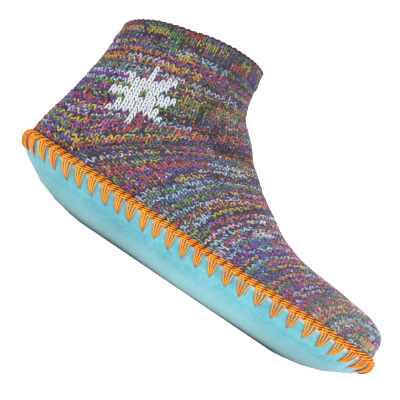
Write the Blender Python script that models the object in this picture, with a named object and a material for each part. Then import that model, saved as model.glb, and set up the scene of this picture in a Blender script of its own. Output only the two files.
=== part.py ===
"""Slipper sock for a right foot: a knitted upper, a suede tray sole, an insole and a crocheted edging.

The slipper stands on its sole. +X points to the toe, +Z up, and the outer side of the foot is at -Y.
The origin lies on the floor below the middle of the bounding box.
"""
import math
from collections import namedtuple

import bmesh
import bpy
import numpy as np

# Sole, in metres
SOLE_LENGTH = 0.248       # heel tip to toe tip of the suede, measured at its edge
BALL_WIDTH = 0.090        # widest place of the forefoot
HEEL_WIDTH = 0.065        # widest place of the heel
WAIST_OUTER = 0.034       # centre line to the edge under the arch, outer side
WAIST_INNER = 0.030       # the same on the inner side, where the arch is cut in
TOE_SHIFT = 0.005         # how far the toe tip lies towards the inner side
EDGE_HEIGHT = 0.025       # top edge of the suede above the floor, at the sides
TIP_RISE = 0.0015         # how much higher the edge is at the heel and toe tips
SIDE_TURN = 0.014         # width of the turn from tread to wall, at the sides
TIP_TURN = 0.058          # length of the flatter turn at the heel and the toe
SOLE_WALL = 0.0018        # thickness of the suede

# Upper, in metres
INSTEP_HEIGHT = 0.084     # top of the foot where it meets the leg
LEG_HEIGHT = 0.135        # collar above the floor
LEG_WIDTH = 0.068         # width of the leg and of the heel cup
KNIT_WALL = 0.0025        # thickness of the knit
CUFF_HEIGHT = 0.011       # ribbed band at the collar
CUFF_STEP = 0.0006        # how far the ribbed band stands proud of the leg
TUCK_DEPTH = 0.007        # how far the knit reaches down inside the suede

# Insole and edging, in metres
INSOLE_THICKNESS = 0.003
BRAID_PROUD = 0.0020      # how far the edging stands out from the suede
BRAID_BELOW = 0.0024      # lower edge of its braid under the edge of the suede
BRAID_ABOVE = 0.0028      # upper edge of its braid over the edge of the suede
FAN_DROP = 0.0095         # lowest point of its stitches under the edge of the suede
FAN_PROUD = 0.0011        # how far the stitches stand out from the suede
FAN_PITCH = 0.0096        # distance between stitch fans
GAP = 0.0003              # clearance between pieces that touch
FAN_GAP = 0.0006          # clearance of the stitches over the curved suede
FELT_GAP = 0.0005         # clearance of the insole over the curved suede

# Shape of the outline: where each width lies, as a share of the sole's length
HEEL_STATION = 0.155
WAIST_STATION = 0.41
BALL_STATION_OUTER = 0.66
BALL_STATION_INNER = 0.73
HEEL_ROUNDNESS = 2.1
TOE_ROUNDNESS = 2.3
SPINE_INSET = 0.25        # ends of the spine that the turn is measured from
SIDE_TURN_POWER = 2.0
TIP_TURN_POWER = 1.75
INSOLE_CLIMB = 0.55       # share of the turn, from the tread outwards, that the insole covers

# Mesh density
OUTLINE_STEPS = 32
TURN_STEPS = 3
FAN_STEPS = 3
HEEL_COLUMNS = 6
TOP_COLUMNS = 9
ROWS_PER_RING = 5.0

# Rings of knitting around the leg, from the collar down to the heel turn.
# row counts knitted rows. *_s are shares of SOLE_LENGTH from the heel tip. *_z are heights: up to 1
# they are shares of INSTEP_HEIGHT, from 1 to 2 they go on from there to LEG_HEIGHT. side_y is a share
# of half of LEG_WIDTH, bend how late the ring climbs from its back to its side, slope its direction
# at its side in degrees, crown how flat its front is.
LegRing = namedtuple("LegRing", "row back_s back_z side_s side_z side_y bend front_s front_z slope crown")
LEG_RINGS = (
    LegRing(0.0, 0.050, 1.520, 0.210, 1.853, 1.00, 0.57, 0.385, 2.000, 18, 0.58),
    LegRing(4.2, 0.048, 1.314, 0.202, 1.608, 1.01, 0.62, 0.397, 1.765, 17, 0.58),
    LegRing(6.0, 0.048, 1.225, 0.202, 1.510, 1.00, 0.66, 0.401, 1.660, 16, 0.58),
    LegRing(11.7, 0.042, 0.946, 0.194, 1.176, 0.98, 0.90, 0.412, 1.465, 17, 0.62),
    LegRing(20.8, 0.025, 0.661, 0.173, 0.786, 0.98, 1.30, 0.445, 1.300, 22, 0.70),
    LegRing(25.1, 0.015, 0.518, 0.153, 0.643, 0.97, 1.45, 0.462, 1.212, 30, 0.76),
    LegRing(28.5, 0.012, 0.464, 0.137, 0.530, 0.96, 1.45, 0.470, 1.170, 37, 0.79),
)

# The ring at the heel turn: round the heel it lies on the edge of the suede.
# base_s is where it leaves the edge. The rings after it are arcs over the foot, edge to edge.
# bulge is how far a ring leans outwards where it starts, as a share of its handle there.
FootRing = namedtuple("FootRing", "row base_s bulge front_s front_z slope crown")
FOOT_RINGS = (
    FootRing(34.0, 0.117, 0.130, 0.484, 1.112, 45, 0.82),
    FootRing(38.7, 0.173, 0.125, 0.508, 1.004, 50, 0.84),
    FootRing(46.7, 0.274, 0.120, 0.548, 0.902, 61, 0.84),
    FootRing(54.7, 0.375, 0.110, 0.575, 0.851, 73, 0.82),
    FootRing(62.0, 0.466, 0.100, 0.601, 0.804, 84, 0.80),
    FootRing(66.7, 0.520, 0.090, 0.653, 0.714, 74, 0.80),
    FootRing(71.3, 0.577, 0.090, 0.706, 0.661, 66, 0.80),
    FootRing(76.0, 0.633, 0.090, 0.758, 0.633, 63, 0.80),
    FootRing(81.3, 0.694, 0.090, 0.810, 0.619, 61, 0.80),
    FootRing(86.0, 0.750, 0.090, 0.863, 0.608, 66, 0.80),
    FootRing(90.0, 0.794, 0.090, 0.907, 0.588, 70, 0.80),
    FootRing(94.7, 0.835, 0.090, 0.952, 0.560, 74, 0.80),
    FootRing(99.3, 0.871, 0.090, 0.984, 0.500, 74, 0.80),
)
LAST_ROW = 104.7
LAST_BASE_S = 0.903       # the last row lies on the edge of the suede from here to the toe tip
ARC_REACH = 0.55          # length of a ring's handle at its side, as a share of its side-view chord
LEG_BULGE = 0.09          # how far that handle leans outwards on the leg, as a share of its length
LEG_ROUNDNESS = 2.15      # how square the back half of a leg ring is

OUTER = -1.0
INNER = 1.0


def ease(value):
    """Go from 0 to 1 with level ends."""
    value = min(max(value, 0.0), 1.0)
    return value * value * (3.0 - 2.0 * value)


def height(share):
    """Turn a height share of a ring table into metres above the floor."""
    if share <= 1.0:
        return INSTEP_HEIGHT * share
    return INSTEP_HEIGHT + (LEG_HEIGHT - INSTEP_HEIGHT) * (share - 1.0)


def station_of(turn):
    """Distance from the heel tip for an outline parameter from 0, heel tip, to 1, toe tip."""
    return SOLE_LENGTH * (1.0 - math.cos(math.pi * turn)) / 2.0


def turn_of(station):
    """Outline parameter for a distance from the heel tip."""
    return math.acos(1.0 - 2.0 * min(max(station / SOLE_LENGTH, 0.0), 1.0)) / math.pi


def outline_y(station, side):
    """Distance of the suede's edge from the centre line, signed, on one side."""
    heel_end = HEEL_STATION * SOLE_LENGTH
    waist_at = WAIST_STATION * SOLE_LENGTH
    ball_share = BALL_STATION_OUTER if side == OUTER else BALL_STATION_INNER
    ball_at = ball_share * SOLE_LENGTH
    waist = WAIST_OUTER if side == OUTER else WAIST_INNER
    if station < heel_end:
        rest = (heel_end - station) / heel_end
        return side * HEEL_WIDTH / 2.0 * (1.0 - rest ** HEEL_ROUNDNESS) ** (1.0 / HEEL_ROUNDNESS)
    if station < waist_at:
        share = ease((station - heel_end) / (waist_at - heel_end))
        return side * (HEEL_WIDTH / 2.0 + (waist - HEEL_WIDTH / 2.0) * share)
    if station < ball_at:
        share = ease((station - waist_at) / (ball_at - waist_at))
        return side * (waist + (BALL_WIDTH / 2.0 - waist) * share)
    rest = min((station - ball_at) / (SOLE_LENGTH - ball_at), 1.0)
    cap = (1.0 - rest ** TOE_ROUNDNESS) ** (1.0 / TOE_ROUNDNESS)
    return TOE_SHIFT + (side * BALL_WIDTH / 2.0 - TOE_SHIFT) * cap


def turn_frame(turn, side):
    """Spine point, edge point and shape of the suede's turn at one place of the outline."""
    station = station_of(turn)
    edge = np.array([station, outline_y(station, side)])
    run = SPINE_INSET + (1.0 - 2.0 * SPINE_INSET) * station / SOLE_LENGTH
    spine = np.array([run * SOLE_LENGTH, TOE_SHIFT * run * run])
    reach = np.linalg.norm(edge - spine)
    tip = ((edge - spine)[0] / reach) ** 2
    width = SIDE_TURN + (TIP_TURN - SIDE_TURN) * tip
    power = SIDE_TURN_POWER + (TIP_TURN_POWER - SIDE_TURN_POWER) * tip
    top = EDGE_HEIGHT + TIP_RISE * tip
    return spine, edge, width / reach, power, top


def raw_wall(turn, side, climb):
    """Point of the suede's outer face: climb 0 is the rim of the flat tread, 1 the top edge."""
    spine, edge, width, power, top = turn_frame(turn, side)
    reach = 1.0 - width * (1.0 - climb)
    flat = spine + (edge - spine) * reach
    rise = top * (1.0 - (1.0 - climb ** power) ** (1.0 / power))
    return np.array([flat[0], flat[1], rise])


def wall(turn, side, climb, out=0.0):
    """Point of the suede's face moved out along its normal by a signed distance."""
    step = 0.002
    here = raw_wall(turn, side, climb)
    turn_a = max(turn - step, 0.0)
    turn_b = min(turn + step, 1.0)
    climb_a = max(climb - step, 0.0)
    climb_b = min(climb + step, 1.0)
    along = raw_wall(turn_b, side, climb) - raw_wall(turn_a, side, climb)
    up = raw_wall(turn, side, climb_b) - raw_wall(turn, side, climb_a)
    if climb == 0.0:
        normal = np.array([0.0, 0.0, -1.0])
    else:
        if turn in (0.0, 1.0):
            along = np.array([0.0, side, 0.0]) * (1.0 if turn == 0.0 else -1.0)
        if climb == 1.0:
            up = np.array([0.0, 0.0, 1.0])
        normal = np.cross(along, up) * (1.0 if side == OUTER else -1.0)
        normal = normal / np.linalg.norm(normal)
    return here + normal * out


def climb_at(turn, side, drop):
    """Climb of the point that lies a given height under the top edge."""
    power, top = turn_frame(turn, side)[3:]
    share = min(max(drop / top, 0.0), 1.0)
    return (1.0 - share ** power) ** (1.0 / power)


def edge_point(turn, side, out=0.0):
    """Point on the suede's top edge."""
    return wall(turn, side, 1.0, out)


def border_point(turn, side):
    """Point where the knit comes out from behind the edging, close inside the suede's edge."""
    return edge_point(turn, side, -(SOLE_WALL + GAP)) + np.array([0.0, 0.0, BRAID_ABOVE + GAP])


def arc(side_at, front_at, bulge, slope, crown):
    """Arc of one ring from its side to the front centre line, as a function of 0 to 1."""
    chord = math.hypot(front_at[0] - side_at[0], front_at[2] - side_at[2])
    handle = ARC_REACH * chord
    lean = math.copysign(bulge, side_at[1])
    angle = math.radians(slope)
    first = side_at + handle * np.array([math.cos(angle), lean, math.sin(angle)])
    second = front_at + np.array([0.0, crown * (side_at[1] - front_at[1]), 0.0])

    def at(share):
        rest = 1.0 - share
        return (rest ** 3 * side_at + 3 * rest ** 2 * share * first
                + 3 * rest * share ** 2 * second + share ** 3 * front_at)
    return at


def front_point(ring):
    """Point of a ring on the centre line of the front and the top, which turns in with the toe."""
    return np.array([ring.front_s * SOLE_LENGTH, TOE_SHIFT * ring.front_s ** 2, height(ring.front_z)])


def leg_ring(ring, side):
    """Points of one leg ring on one side, from the back centre line to the front one."""
    half = side * LEG_WIDTH / 2.0 * ring.side_y
    back_x, side_x = ring.back_s * SOLE_LENGTH, ring.side_s * SOLE_LENGTH
    back_z, side_z = height(ring.back_z), height(ring.side_z)
    points = []
    for column in range(HEEL_COLUMNS):
        angle = math.pi / 2.0 * column / HEEL_COLUMNS
        along = math.cos(angle) ** (2.0 / LEG_ROUNDNESS)
        out = math.sin(angle) ** (2.0 / LEG_ROUNDNESS)
        climb = (1.0 - along) ** ring.bend
        points.append(np.array([side_x - (side_x - back_x) * along, half * out,
                                back_z + (side_z - back_z) * climb]))
    curve = arc(np.array([side_x, half, side_z]), front_point(ring), LEG_BULGE, ring.slope, ring.crown)
    return points + [curve(column / TOP_COLUMNS) for column in range(TOP_COLUMNS + 1)]


def foot_ring(ring, side):
    """Points of one foot ring on one side, from the suede's edge to the top centre line."""
    base = border_point(turn_of(ring.base_s * SOLE_LENGTH), side)
    curve = arc(base, front_point(ring), ring.bulge, ring.slope, ring.crown)
    return [curve(column / TOP_COLUMNS) for column in range(TOP_COLUMNS + 1)]


def heel_edge(side):
    """Turns of the heel part of the suede's edge, from the back centre to the heel turn."""
    last = turn_of(FOOT_RINGS[0].base_s * SOLE_LENGTH)
    return [(last * column / HEEL_COLUMNS, side) for column in range(HEEL_COLUMNS)]


def toe_edge(side):
    """Turns of the toe part of the suede's edge, from the last row's base to the toe tip."""
    first = turn_of(LAST_BASE_S * SOLE_LENGTH)
    return [(first + (1.0 - first) * column / TOP_COLUMNS, side) for column in range(TOP_COLUMNS + 1)]


def smooth_through(rows, values, at):
    """Value at a row of a smooth curve that passes through the given rows."""
    count = len(rows)
    index = min(max(int(np.searchsorted(rows, at)) - 1, 0), count - 2)
    slopes = [(values[i + 1] - values[i]) / (rows[i + 1] - rows[i]) for i in range(count - 1)]

    def tangent(i):
        if i == 0:
            return slopes[0]
        if i == count - 1:
            return slopes[-1]
        before, after = rows[i] - rows[i - 1], rows[i + 1] - rows[i]
        return (slopes[i - 1] * after + slopes[i] * before) / (before + after)
    span = rows[index + 1] - rows[index]
    t = (at - rows[index]) / span
    return ((2 * t ** 3 - 3 * t ** 2 + 1) * values[index]
            + (t ** 3 - 2 * t ** 2 + t) * span * tangent(index)
            + (3 * t ** 2 - 2 * t ** 3) * values[index + 1]
            + (t ** 3 - t ** 2) * span * tangent(index + 1))


def sample_rows(rows):
    """Rows at which the mesh has a ring, so that no band is taller than ROWS_PER_RING."""
    found = [rows[0]]
    for low, high in zip(rows, rows[1:]):
        count = math.ceil((high - low) / ROWS_PER_RING)
        found += [low + (high - low) * (step + 1) / count for step in range(count)]
    return found


def ring_tables(side):
    """Rows and points of the leg rings and of the foot rings on one side, the heel turn in both."""
    turn_ring = foot_ring(FOOT_RINGS[0], side)
    heel = [border_point(*place) for place in heel_edge(side)]
    leg_rows = [ring.row for ring in LEG_RINGS] + [FOOT_RINGS[0].row]
    leg_table = np.array([leg_ring(ring, side) for ring in LEG_RINGS] + [heel + turn_ring])
    foot_rows = [ring.row for ring in FOOT_RINGS] + [LAST_ROW]
    last = [border_point(*place) for place in toe_edge(side)]
    foot_table = np.array([foot_ring(ring, side) for ring in FOOT_RINGS] + [last])
    return leg_rows, leg_table, foot_rows, foot_table


def blend_over_turn(points, side, row):
    """Let the front of a ring run smoothly over the heel turn, and keep its corner at the edge."""
    leg_rows, leg_table, foot_rows, foot_table = ring_tables(side)
    whole = np.concatenate([leg_table[:-1, HEEL_COLUMNS:], foot_table])
    smooth = smooth_through(leg_rows[:-1] + foot_rows, whole, row)
    share = np.array([ease(2.0 * column / TOP_COLUMNS) for column in range(TOP_COLUMNS + 1)])
    return points + share[:, None] * (smooth - points)


def leg_points(side):
    """Outer face of the leg and heel cup on one side: one list of points for each mesh ring."""
    rows, table = ring_tables(side)[:2]
    rings = []
    for row in sample_rows(rows):
        points = smooth_through(rows, table, row)
        points[HEEL_COLUMNS:] = blend_over_turn(points[HEEL_COLUMNS:], side, row)
        rings.append(points)
    return rings


def foot_points(side):
    """Outer face of the foot on one side, from the heel turn to the toe, and where each ring starts."""
    rows, table = ring_tables(side)[2:]
    bases = np.array([ring.base_s for ring in FOOT_RINGS] + [LAST_BASE_S])
    rings, places = [], []
    for row in sample_rows(rows):
        points = blend_over_turn(smooth_through(rows, table, row), side, row)
        place = (turn_of(smooth_through(rows, bases, row) * SOLE_LENGTH), side)
        miss = border_point(*place) - points[0]
        share = 1.0 - np.arange(TOP_COLUMNS + 1) / TOP_COLUMNS
        rings.append(points + share[:, None] ** 3 * miss)
        places.append(place)
    return rings, places


def outward(ring):
    """Level outward directions of a closed ring of points."""
    points = np.array(ring)
    along = np.roll(points, -1, axis=0) - np.roll(points, 1, axis=0)
    normal = np.stack([along[:, 1], -along[:, 0], np.zeros(len(ring))], axis=1)
    centre = points.mean(axis=0)
    sign = np.sign(((points - centre) * normal).sum(axis=1).mean())
    return sign * normal / np.linalg.norm(normal, axis=1)[:, None]


def cuff_rings(rings):
    """Cut the ribbed band off at its height and let it stand proud of the leg by its step."""
    top = rings[0]
    depth = [np.linalg.norm(ring - top, axis=1).mean() for ring in rings]
    below = next(i for i, value in enumerate(depth) if value > CUFF_HEIGHT)
    share = (CUFF_HEIGHT - depth[below - 1]) / (depth[below] - depth[below - 1])
    hem = rings[below - 1] + (rings[below] - rings[below - 1]) * share
    band = [ring + outward(ring) * CUFF_STEP for ring in rings[:below] + [hem]]
    return band + [hem + (rings[below] - hem) * 0.06] + rings[below:]


def new_object(name, mesh_data, material):
    """Put a bmesh into the scene as a named object with one material."""
    mesh = bpy.data.meshes.new(name)
    mesh_data.to_mesh(mesh)
    mesh_data.free()
    mesh.materials.append(material)
    mesh.shade_smooth()
    mesh.set_sharp_from_angle(angle=math.radians(40.0))
    thing = bpy.data.objects.new(name, mesh)
    bpy.context.collection.objects.link(thing)
    return thing


def plain_material(name, colour, roughness):
    """Principled material of one colour."""
    material = bpy.data.materials.new(name)
    material.use_nodes = True
    shader = material.node_tree.nodes["Principled BSDF"]
    shader.inputs["Base Color"].default_value = (*colour, 1.0)
    shader.inputs["Roughness"].default_value = roughness
    shader.inputs["Metallic"].default_value = 0.0
    return material


def bridge(mesh_data, loop_a, loop_b, closed=True):
    """Join two rows of vertices with a band of quads."""
    count = len(loop_a)
    for i in range(count if closed else count - 1):
        j = (i + 1) % count
        mesh_data.faces.new((loop_a[i], loop_a[j], loop_b[j], loop_b[i]))


def outline_places():
    """Places all round the outline: outer side from heel to toe, inner side back to the heel."""
    outer = [(step / OUTLINE_STEPS, OUTER) for step in range(OUTLINE_STEPS + 1)]
    inner = [(1.0 - step / OUTLINE_STEPS, INNER) for step in range(1, OUTLINE_STEPS)]
    return outer + inner


def tray(mesh_data, climbs, low, high):
    """Closed shell between two distances inside the suede's outer face, up to a rim."""
    places = outline_places()
    loops = []
    for depth, order in ((low, climbs), (high, climbs[::-1])):
        for rim_share in order:
            loop = []
            for turn, side in places:
                climb = rim_share(turn, side)
                point = wall(turn, side, climb, -depth)
                loop.append(mesh_data.verts.new(to_frame(point)))
            loops.append(loop)
    for loop_a, loop_b in zip(loops, loops[1:]):
        bridge(mesh_data, loop_a, loop_b)
    mesh_data.faces.new(loops[0][::-1])
    mesh_data.faces.new(loops[-1])
    bmesh.ops.recalc_face_normals(mesh_data, faces=mesh_data.faces)


def to_frame(point):
    """Move a point measured from the heel tip into the part's own frame."""
    return (point[0] - SOLE_LENGTH / 2.0, point[1], point[2])


def insole_climbs():
    """Climb functions of the insole, from the flat tread to its own rim."""
    return [lambda turn, side, share=share: share * INSOLE_CLIMB for share in (0.0, 0.5, 1.0)]


def wall_climbs():
    """Climb functions of the sole: under the insole, up the turn, then even steps behind the fans."""
    def turning(share):
        return lambda turn, side: INSOLE_CLIMB + (climb_at(turn, side, FAN_DROP) - INSOLE_CLIMB) * share

    def behind(share):
        return lambda turn, side: climb_at(turn, side, FAN_DROP * (1.0 - share))
    turn_part = [turning((step + 1) / TURN_STEPS) for step in range(TURN_STEPS)]
    return insole_climbs() + turn_part + [behind((step + 1) / FAN_STEPS) for step in range(FAN_STEPS)]


def build_sole(material):
    """Suede tray: flat tread, turned-up wall, open top."""
    mesh_data = bmesh.new()
    tray(mesh_data, wall_climbs(), 0.0, SOLE_WALL)
    return new_object("sole", mesh_data, material)


def build_insole(material):
    """Felt insole on the tread, its rim following the start of the turn."""
    mesh_data = bmesh.new()
    low = SOLE_WALL + FELT_GAP
    tray(mesh_data, insole_climbs(), low, low + INSOLE_THICKNESS)
    return new_object("insole", mesh_data, material)


def build_upper(material):
    """Knitted upper: leg, heel cup and foot in one shell, open at the collar and underneath.

    Its lower border stands upright behind the edging and goes down inside the suede.
    """
    mesh_data = bmesh.new()
    sides = (OUTER, INNER)
    leg = {side: leg_points(side) for side in sides}
    foot = {side: foot_points(side) for side in sides}
    width = HEEL_COLUMNS + TOP_COLUMNS
    inset = -(SOLE_WALL + GAP)

    def add(points):
        return [mesh_data.verts.new(to_frame(point)) for point in points]

    leg_rings = [np.array(list(a) + list(b[1:-1][::-1])) for a, b in zip(leg[OUTER], leg[INNER])]
    leg_rings = cuff_rings(leg_rings)
    heel_places = heel_edge(OUTER) + [foot[OUTER][1][0]]
    loops = [add(ring) for ring in leg_rings]
    for loop_a, loop_b in zip(loops, loops[1:]):
        bridge(mesh_data, loop_a, loop_b)

    heel_loop = loops[-1]
    strips = [heel_loop[HEEL_COLUMNS:2 * width - HEEL_COLUMNS + 1]]
    toe_places = toe_edge(OUTER) + toe_edge(INNER)[:-1][::-1]
    outer_places, inner_places = foot[OUTER][1][1:-1], foot[INNER][1][1:-1]
    for index in range(len(outer_places)):
        outer_points, inner_points = foot[OUTER][0][index + 1], foot[INNER][0][index + 1]
        strips.append(add(list(outer_points) + list(inner_points[:-1][::-1])))
    strips.append(add([border_point(*place) for place in toe_places]))
    for strip_a, strip_b in zip(strips, strips[1:]):
        bridge(mesh_data, strip_a, strip_b, closed=False)

    border = heel_loop[2 * width - HEEL_COLUMNS:] + heel_loop[:HEEL_COLUMNS + 1]
    border += [strip[0] for strip in strips[1:-1]] + strips[-1]
    border += [strip[-1] for strip in strips[1:-1]][::-1]
    places = [(turn, INNER) for turn, side in heel_places[:0:-1]] + heel_places
    places += outer_places + toe_places + inner_places[::-1]
    previous = border
    for depth in (0.0, TUCK_DEPTH / 2.0, TUCK_DEPTH):
        lower = add([wall(turn, side, climb_at(turn, side, depth), inset) for turn, side in places])
        bridge(mesh_data, previous, lower)
        previous = lower

    bmesh.ops.recalc_face_normals(mesh_data, faces=mesh_data.faces)
    collar_face = loops[0][width].link_faces[0]
    if collar_face.normal.x < 0.0:
        bmesh.ops.reverse_faces(mesh_data, faces=mesh_data.faces)
    upper = new_object("upper", mesh_data, material)
    shell = upper.modifiers.new("knit_wall", "SOLIDIFY")
    shell.thickness = KNIT_WALL
    shell.offset = -1.0
    shell.use_even_offset = True
    return upper


def edging_section(turn, side, drop):
    """Section of the edging at one place, its lower end a given height under the suede's edge."""
    over = edge_point(turn, side)
    level = edge_point(turn, side, 1.0) - over
    inner_lip = -SOLE_WALL

    def face(depth, out):
        return wall(turn, side, climb_at(turn, side, depth), out)

    def top(out, up):
        return over + level * out + np.array([0.0, 0.0, up])
    inner_face = [face(drop * (FAN_STEPS - step) / FAN_STEPS, FAN_GAP) for step in range(FAN_STEPS)]
    return inner_face + [
        top(FAN_GAP, GAP),
        top(inner_lip, GAP),
        top(inner_lip, BRAID_ABOVE),
        top(BRAID_PROUD * 0.45, BRAID_ABOVE),
        top(BRAID_PROUD, BRAID_ABOVE * 0.35),
        face(BRAID_BELOW * 0.6, BRAID_PROUD),
        face(BRAID_BELOW, FAN_PROUD + GAP),
        face((BRAID_BELOW + drop) / 2.0, FAN_PROUD + GAP),
        face(drop + GAP, FAN_PROUD),
    ]


def wall_lean(turn, side):
    """How far the suede leans in over the height of the fans."""
    spine, edge, width = turn_frame(turn, side)[:3]
    return np.linalg.norm(edge - spine) * width * (1.0 - climb_at(turn, side, FAN_DROP))


def edging_places():
    """Places and lower ends of the fans and notches along the edge, with one between where it leans."""
    fine = 400
    outer = [(step / fine, OUTER) for step in range(fine + 1)]
    inner = [(1.0 - step / fine, INNER) for step in range(1, fine + 1)]
    places = outer + inner
    points = np.array([edge_point(*place) for place in places])
    length = np.concatenate([[0.0], np.cumsum(np.linalg.norm(np.diff(points, axis=0), axis=1))])
    fans = round(length[-1] / FAN_PITCH)
    found = []
    for quarter in range(4 * fans):
        at = length[-1] * quarter / (4 * fans)
        index = min(int(np.searchsorted(length, at, side="right")) - 1, len(places) - 2)
        share = (at - length[index]) / (length[index + 1] - length[index])
        turn = places[index][0] + (places[index + 1][0] - places[index][0]) * share
        side = places[index + 1][1]
        if quarter % 2 == 0 or wall_lean(turn, side) > BRAID_PROUD:
            share = 1.0 - abs(quarter % 4 - 2) / 2.0
            found.append((turn, side, BRAID_BELOW + (FAN_DROP - BRAID_BELOW) * share))
    return found


def build_edging(material):
    """Crocheted edging over the edge of the suede: a braid with fans of stitches hanging from it."""
    mesh_data = bmesh.new()
    loops = []
    for turn, side, drop in edging_places():
        section = edging_section(turn, side, drop)
        loops.append([mesh_data.verts.new(to_frame(point)) for point in section])
    for loop_a, loop_b in zip(loops, loops[1:] + loops[:1]):
        bridge(mesh_data, loop_a, loop_b)
    bmesh.ops.recalc_face_normals(mesh_data, faces=mesh_data.faces)
    return new_object("edging", mesh_data, material)


def main():
    """Clear the scene and build the four pieces."""
    for thing in list(bpy.data.objects):
        bpy.data.objects.remove(thing, do_unlink=True)
    build_sole(plain_material("turquoise_suede", (0.17, 0.53, 0.60), 0.95))
    build_insole(plain_material("grey_felt", (0.30, 0.29, 0.28), 0.95))
    build_upper(plain_material("marled_knit", (0.10, 0.09, 0.11), 0.90))
    build_edging(plain_material("orange_cord", (0.86, 0.26, 0.02), 0.80))


main()
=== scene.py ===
"""Looks of the slipper sock for a right foot: knitted upper, suede sole, felt insole, crocheted edging.

Everything is in metres in the part's own frame: +X to the toe, +Z up, the outer side of the foot at -Y.
The form of the last is worked out by the same functions as in the part's source, and the knitting,
the suede and the crochet are laid on it stitch by stitch.
"""
import math
import random
from collections import namedtuple

import bmesh
import bpy
import numpy as np
from bpy.props import FloatProperty, FloatVectorProperty, IntProperty, PointerProperty
from mathutils import Matrix, Vector, noise


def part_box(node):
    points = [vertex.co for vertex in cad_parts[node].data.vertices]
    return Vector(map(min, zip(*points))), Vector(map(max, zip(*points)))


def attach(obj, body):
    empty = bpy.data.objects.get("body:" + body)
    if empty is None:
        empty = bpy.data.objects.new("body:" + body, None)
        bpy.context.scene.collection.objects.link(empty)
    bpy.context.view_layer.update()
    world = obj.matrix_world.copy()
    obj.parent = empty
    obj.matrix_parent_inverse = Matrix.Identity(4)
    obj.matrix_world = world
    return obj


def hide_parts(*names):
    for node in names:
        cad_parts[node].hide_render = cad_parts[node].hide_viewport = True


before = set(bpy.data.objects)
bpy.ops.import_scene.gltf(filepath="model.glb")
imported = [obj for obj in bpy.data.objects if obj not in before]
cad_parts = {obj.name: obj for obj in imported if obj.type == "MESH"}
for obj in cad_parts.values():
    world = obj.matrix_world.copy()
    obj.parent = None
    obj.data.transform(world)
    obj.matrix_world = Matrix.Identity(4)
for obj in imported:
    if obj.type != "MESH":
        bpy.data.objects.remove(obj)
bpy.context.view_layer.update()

bl_info = {
    "name": "Slipper sock looks",
    "version": (1, 0, 0),
    "blender": (4, 5, 0),
    "location": "3D View > Sidebar > Slipper",
    "description": "Builds the knit, suede, felt and crochet of a slipper sock around its packed frame",
    "category": "Object",
}

# Sizes that come from the frame
SOLE_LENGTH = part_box("sole")[1].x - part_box("sole")[0].x
LEG_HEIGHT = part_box("upper")[1].z

# Sole, in metres, as in the part's source
BALL_WIDTH = 0.090
HEEL_WIDTH = 0.065
WAIST_OUTER = 0.034
WAIST_INNER = 0.030
TOE_SHIFT = 0.005
EDGE_HEIGHT = 0.025
TIP_RISE = 0.0015
SIDE_TURN = 0.014
TIP_TURN = 0.058
SOLE_WALL = 0.0018

# Upper, insole and edging, in metres, as in the part's source
INSTEP_HEIGHT = 0.084
LEG_WIDTH = 0.068
KNIT_WALL = 0.0025
CUFF_HEIGHT = 0.011
CUFF_STEP = 0.0006
TUCK_DEPTH = 0.007
INSOLE_THICKNESS = 0.003
FELT_GAP = 0.0005
BRAID_ABOVE = 0.0028
FAN_DROP = 0.0095
GAP = 0.0003

# Shape of the outline and of the turn, as in the part's source
HEEL_STATION = 0.155
WAIST_STATION = 0.41
BALL_STATION_OUTER = 0.66
BALL_STATION_INNER = 0.73
HEEL_ROUNDNESS = 2.1
TOE_ROUNDNESS = 2.3
SPINE_INSET = 0.25
SIDE_TURN_POWER = 2.0
TIP_TURN_POWER = 1.75
INSOLE_CLIMB = 0.55
ARC_REACH = 0.55
LEG_BULGE = 0.09
LEG_ROUNDNESS = 2.15

OUTER = -1.0
INNER = 1.0

# Rings of the knitting from the collar to the heel turn, and over the foot, as in the part's source
LegRing = namedtuple("LegRing", "row back_s back_z side_s side_z side_y bend front_s front_z slope crown")
LEG_RINGS = (
    LegRing(0.0, 0.050, 1.520, 0.210, 1.853, 1.00, 0.57, 0.385, 2.000, 18, 0.58),
    LegRing(4.2, 0.048, 1.314, 0.202, 1.608, 1.01, 0.62, 0.397, 1.765, 17, 0.58),
    LegRing(6.0, 0.048, 1.225, 0.202, 1.510, 1.00, 0.66, 0.401, 1.660, 16, 0.58),
    LegRing(11.7, 0.042, 0.946, 0.194, 1.176, 0.98, 0.90, 0.412, 1.465, 17, 0.62),
    LegRing(20.8, 0.025, 0.661, 0.173, 0.786, 0.98, 1.30, 0.445, 1.300, 22, 0.70),
    LegRing(25.1, 0.015, 0.518, 0.153, 0.643, 0.97, 1.45, 0.462, 1.212, 30, 0.76),
    LegRing(28.5, 0.012, 0.464, 0.137, 0.530, 0.96, 1.45, 0.470, 1.170, 37, 0.79),
)
FootRing = namedtuple("FootRing", "row base_s bulge front_s front_z slope crown")
FOOT_RINGS = (
    FootRing(34.0, 0.117, 0.130, 0.484, 1.112, 45, 0.82),
    FootRing(38.7, 0.173, 0.125, 0.508, 1.004, 50, 0.84),
    FootRing(46.7, 0.274, 0.120, 0.548, 0.902, 61, 0.84),
    FootRing(54.7, 0.375, 0.110, 0.575, 0.851, 73, 0.82),
    FootRing(62.0, 0.466, 0.100, 0.601, 0.804, 84, 0.80),
    FootRing(66.7, 0.520, 0.090, 0.653, 0.714, 74, 0.80),
    FootRing(71.3, 0.577, 0.090, 0.706, 0.661, 66, 0.80),
    FootRing(76.0, 0.633, 0.090, 0.758, 0.633, 63, 0.80),
    FootRing(81.3, 0.694, 0.090, 0.810, 0.619, 61, 0.80),
    FootRing(86.0, 0.750, 0.090, 0.863, 0.608, 66, 0.80),
    FootRing(90.0, 0.794, 0.090, 0.907, 0.588, 70, 0.80),
    FootRing(94.7, 0.835, 0.090, 0.952, 0.560, 74, 0.80),
    FootRing(99.3, 0.871, 0.090, 0.984, 0.500, 74, 0.80),
)
ANKLE_ROW = 11.7          # last row of the plain tube of the leg
TURN_ROW = 34.0           # the heel turn
BEND_ROW = 62.0           # from here on the rows are as long at the top as at the edge
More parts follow.
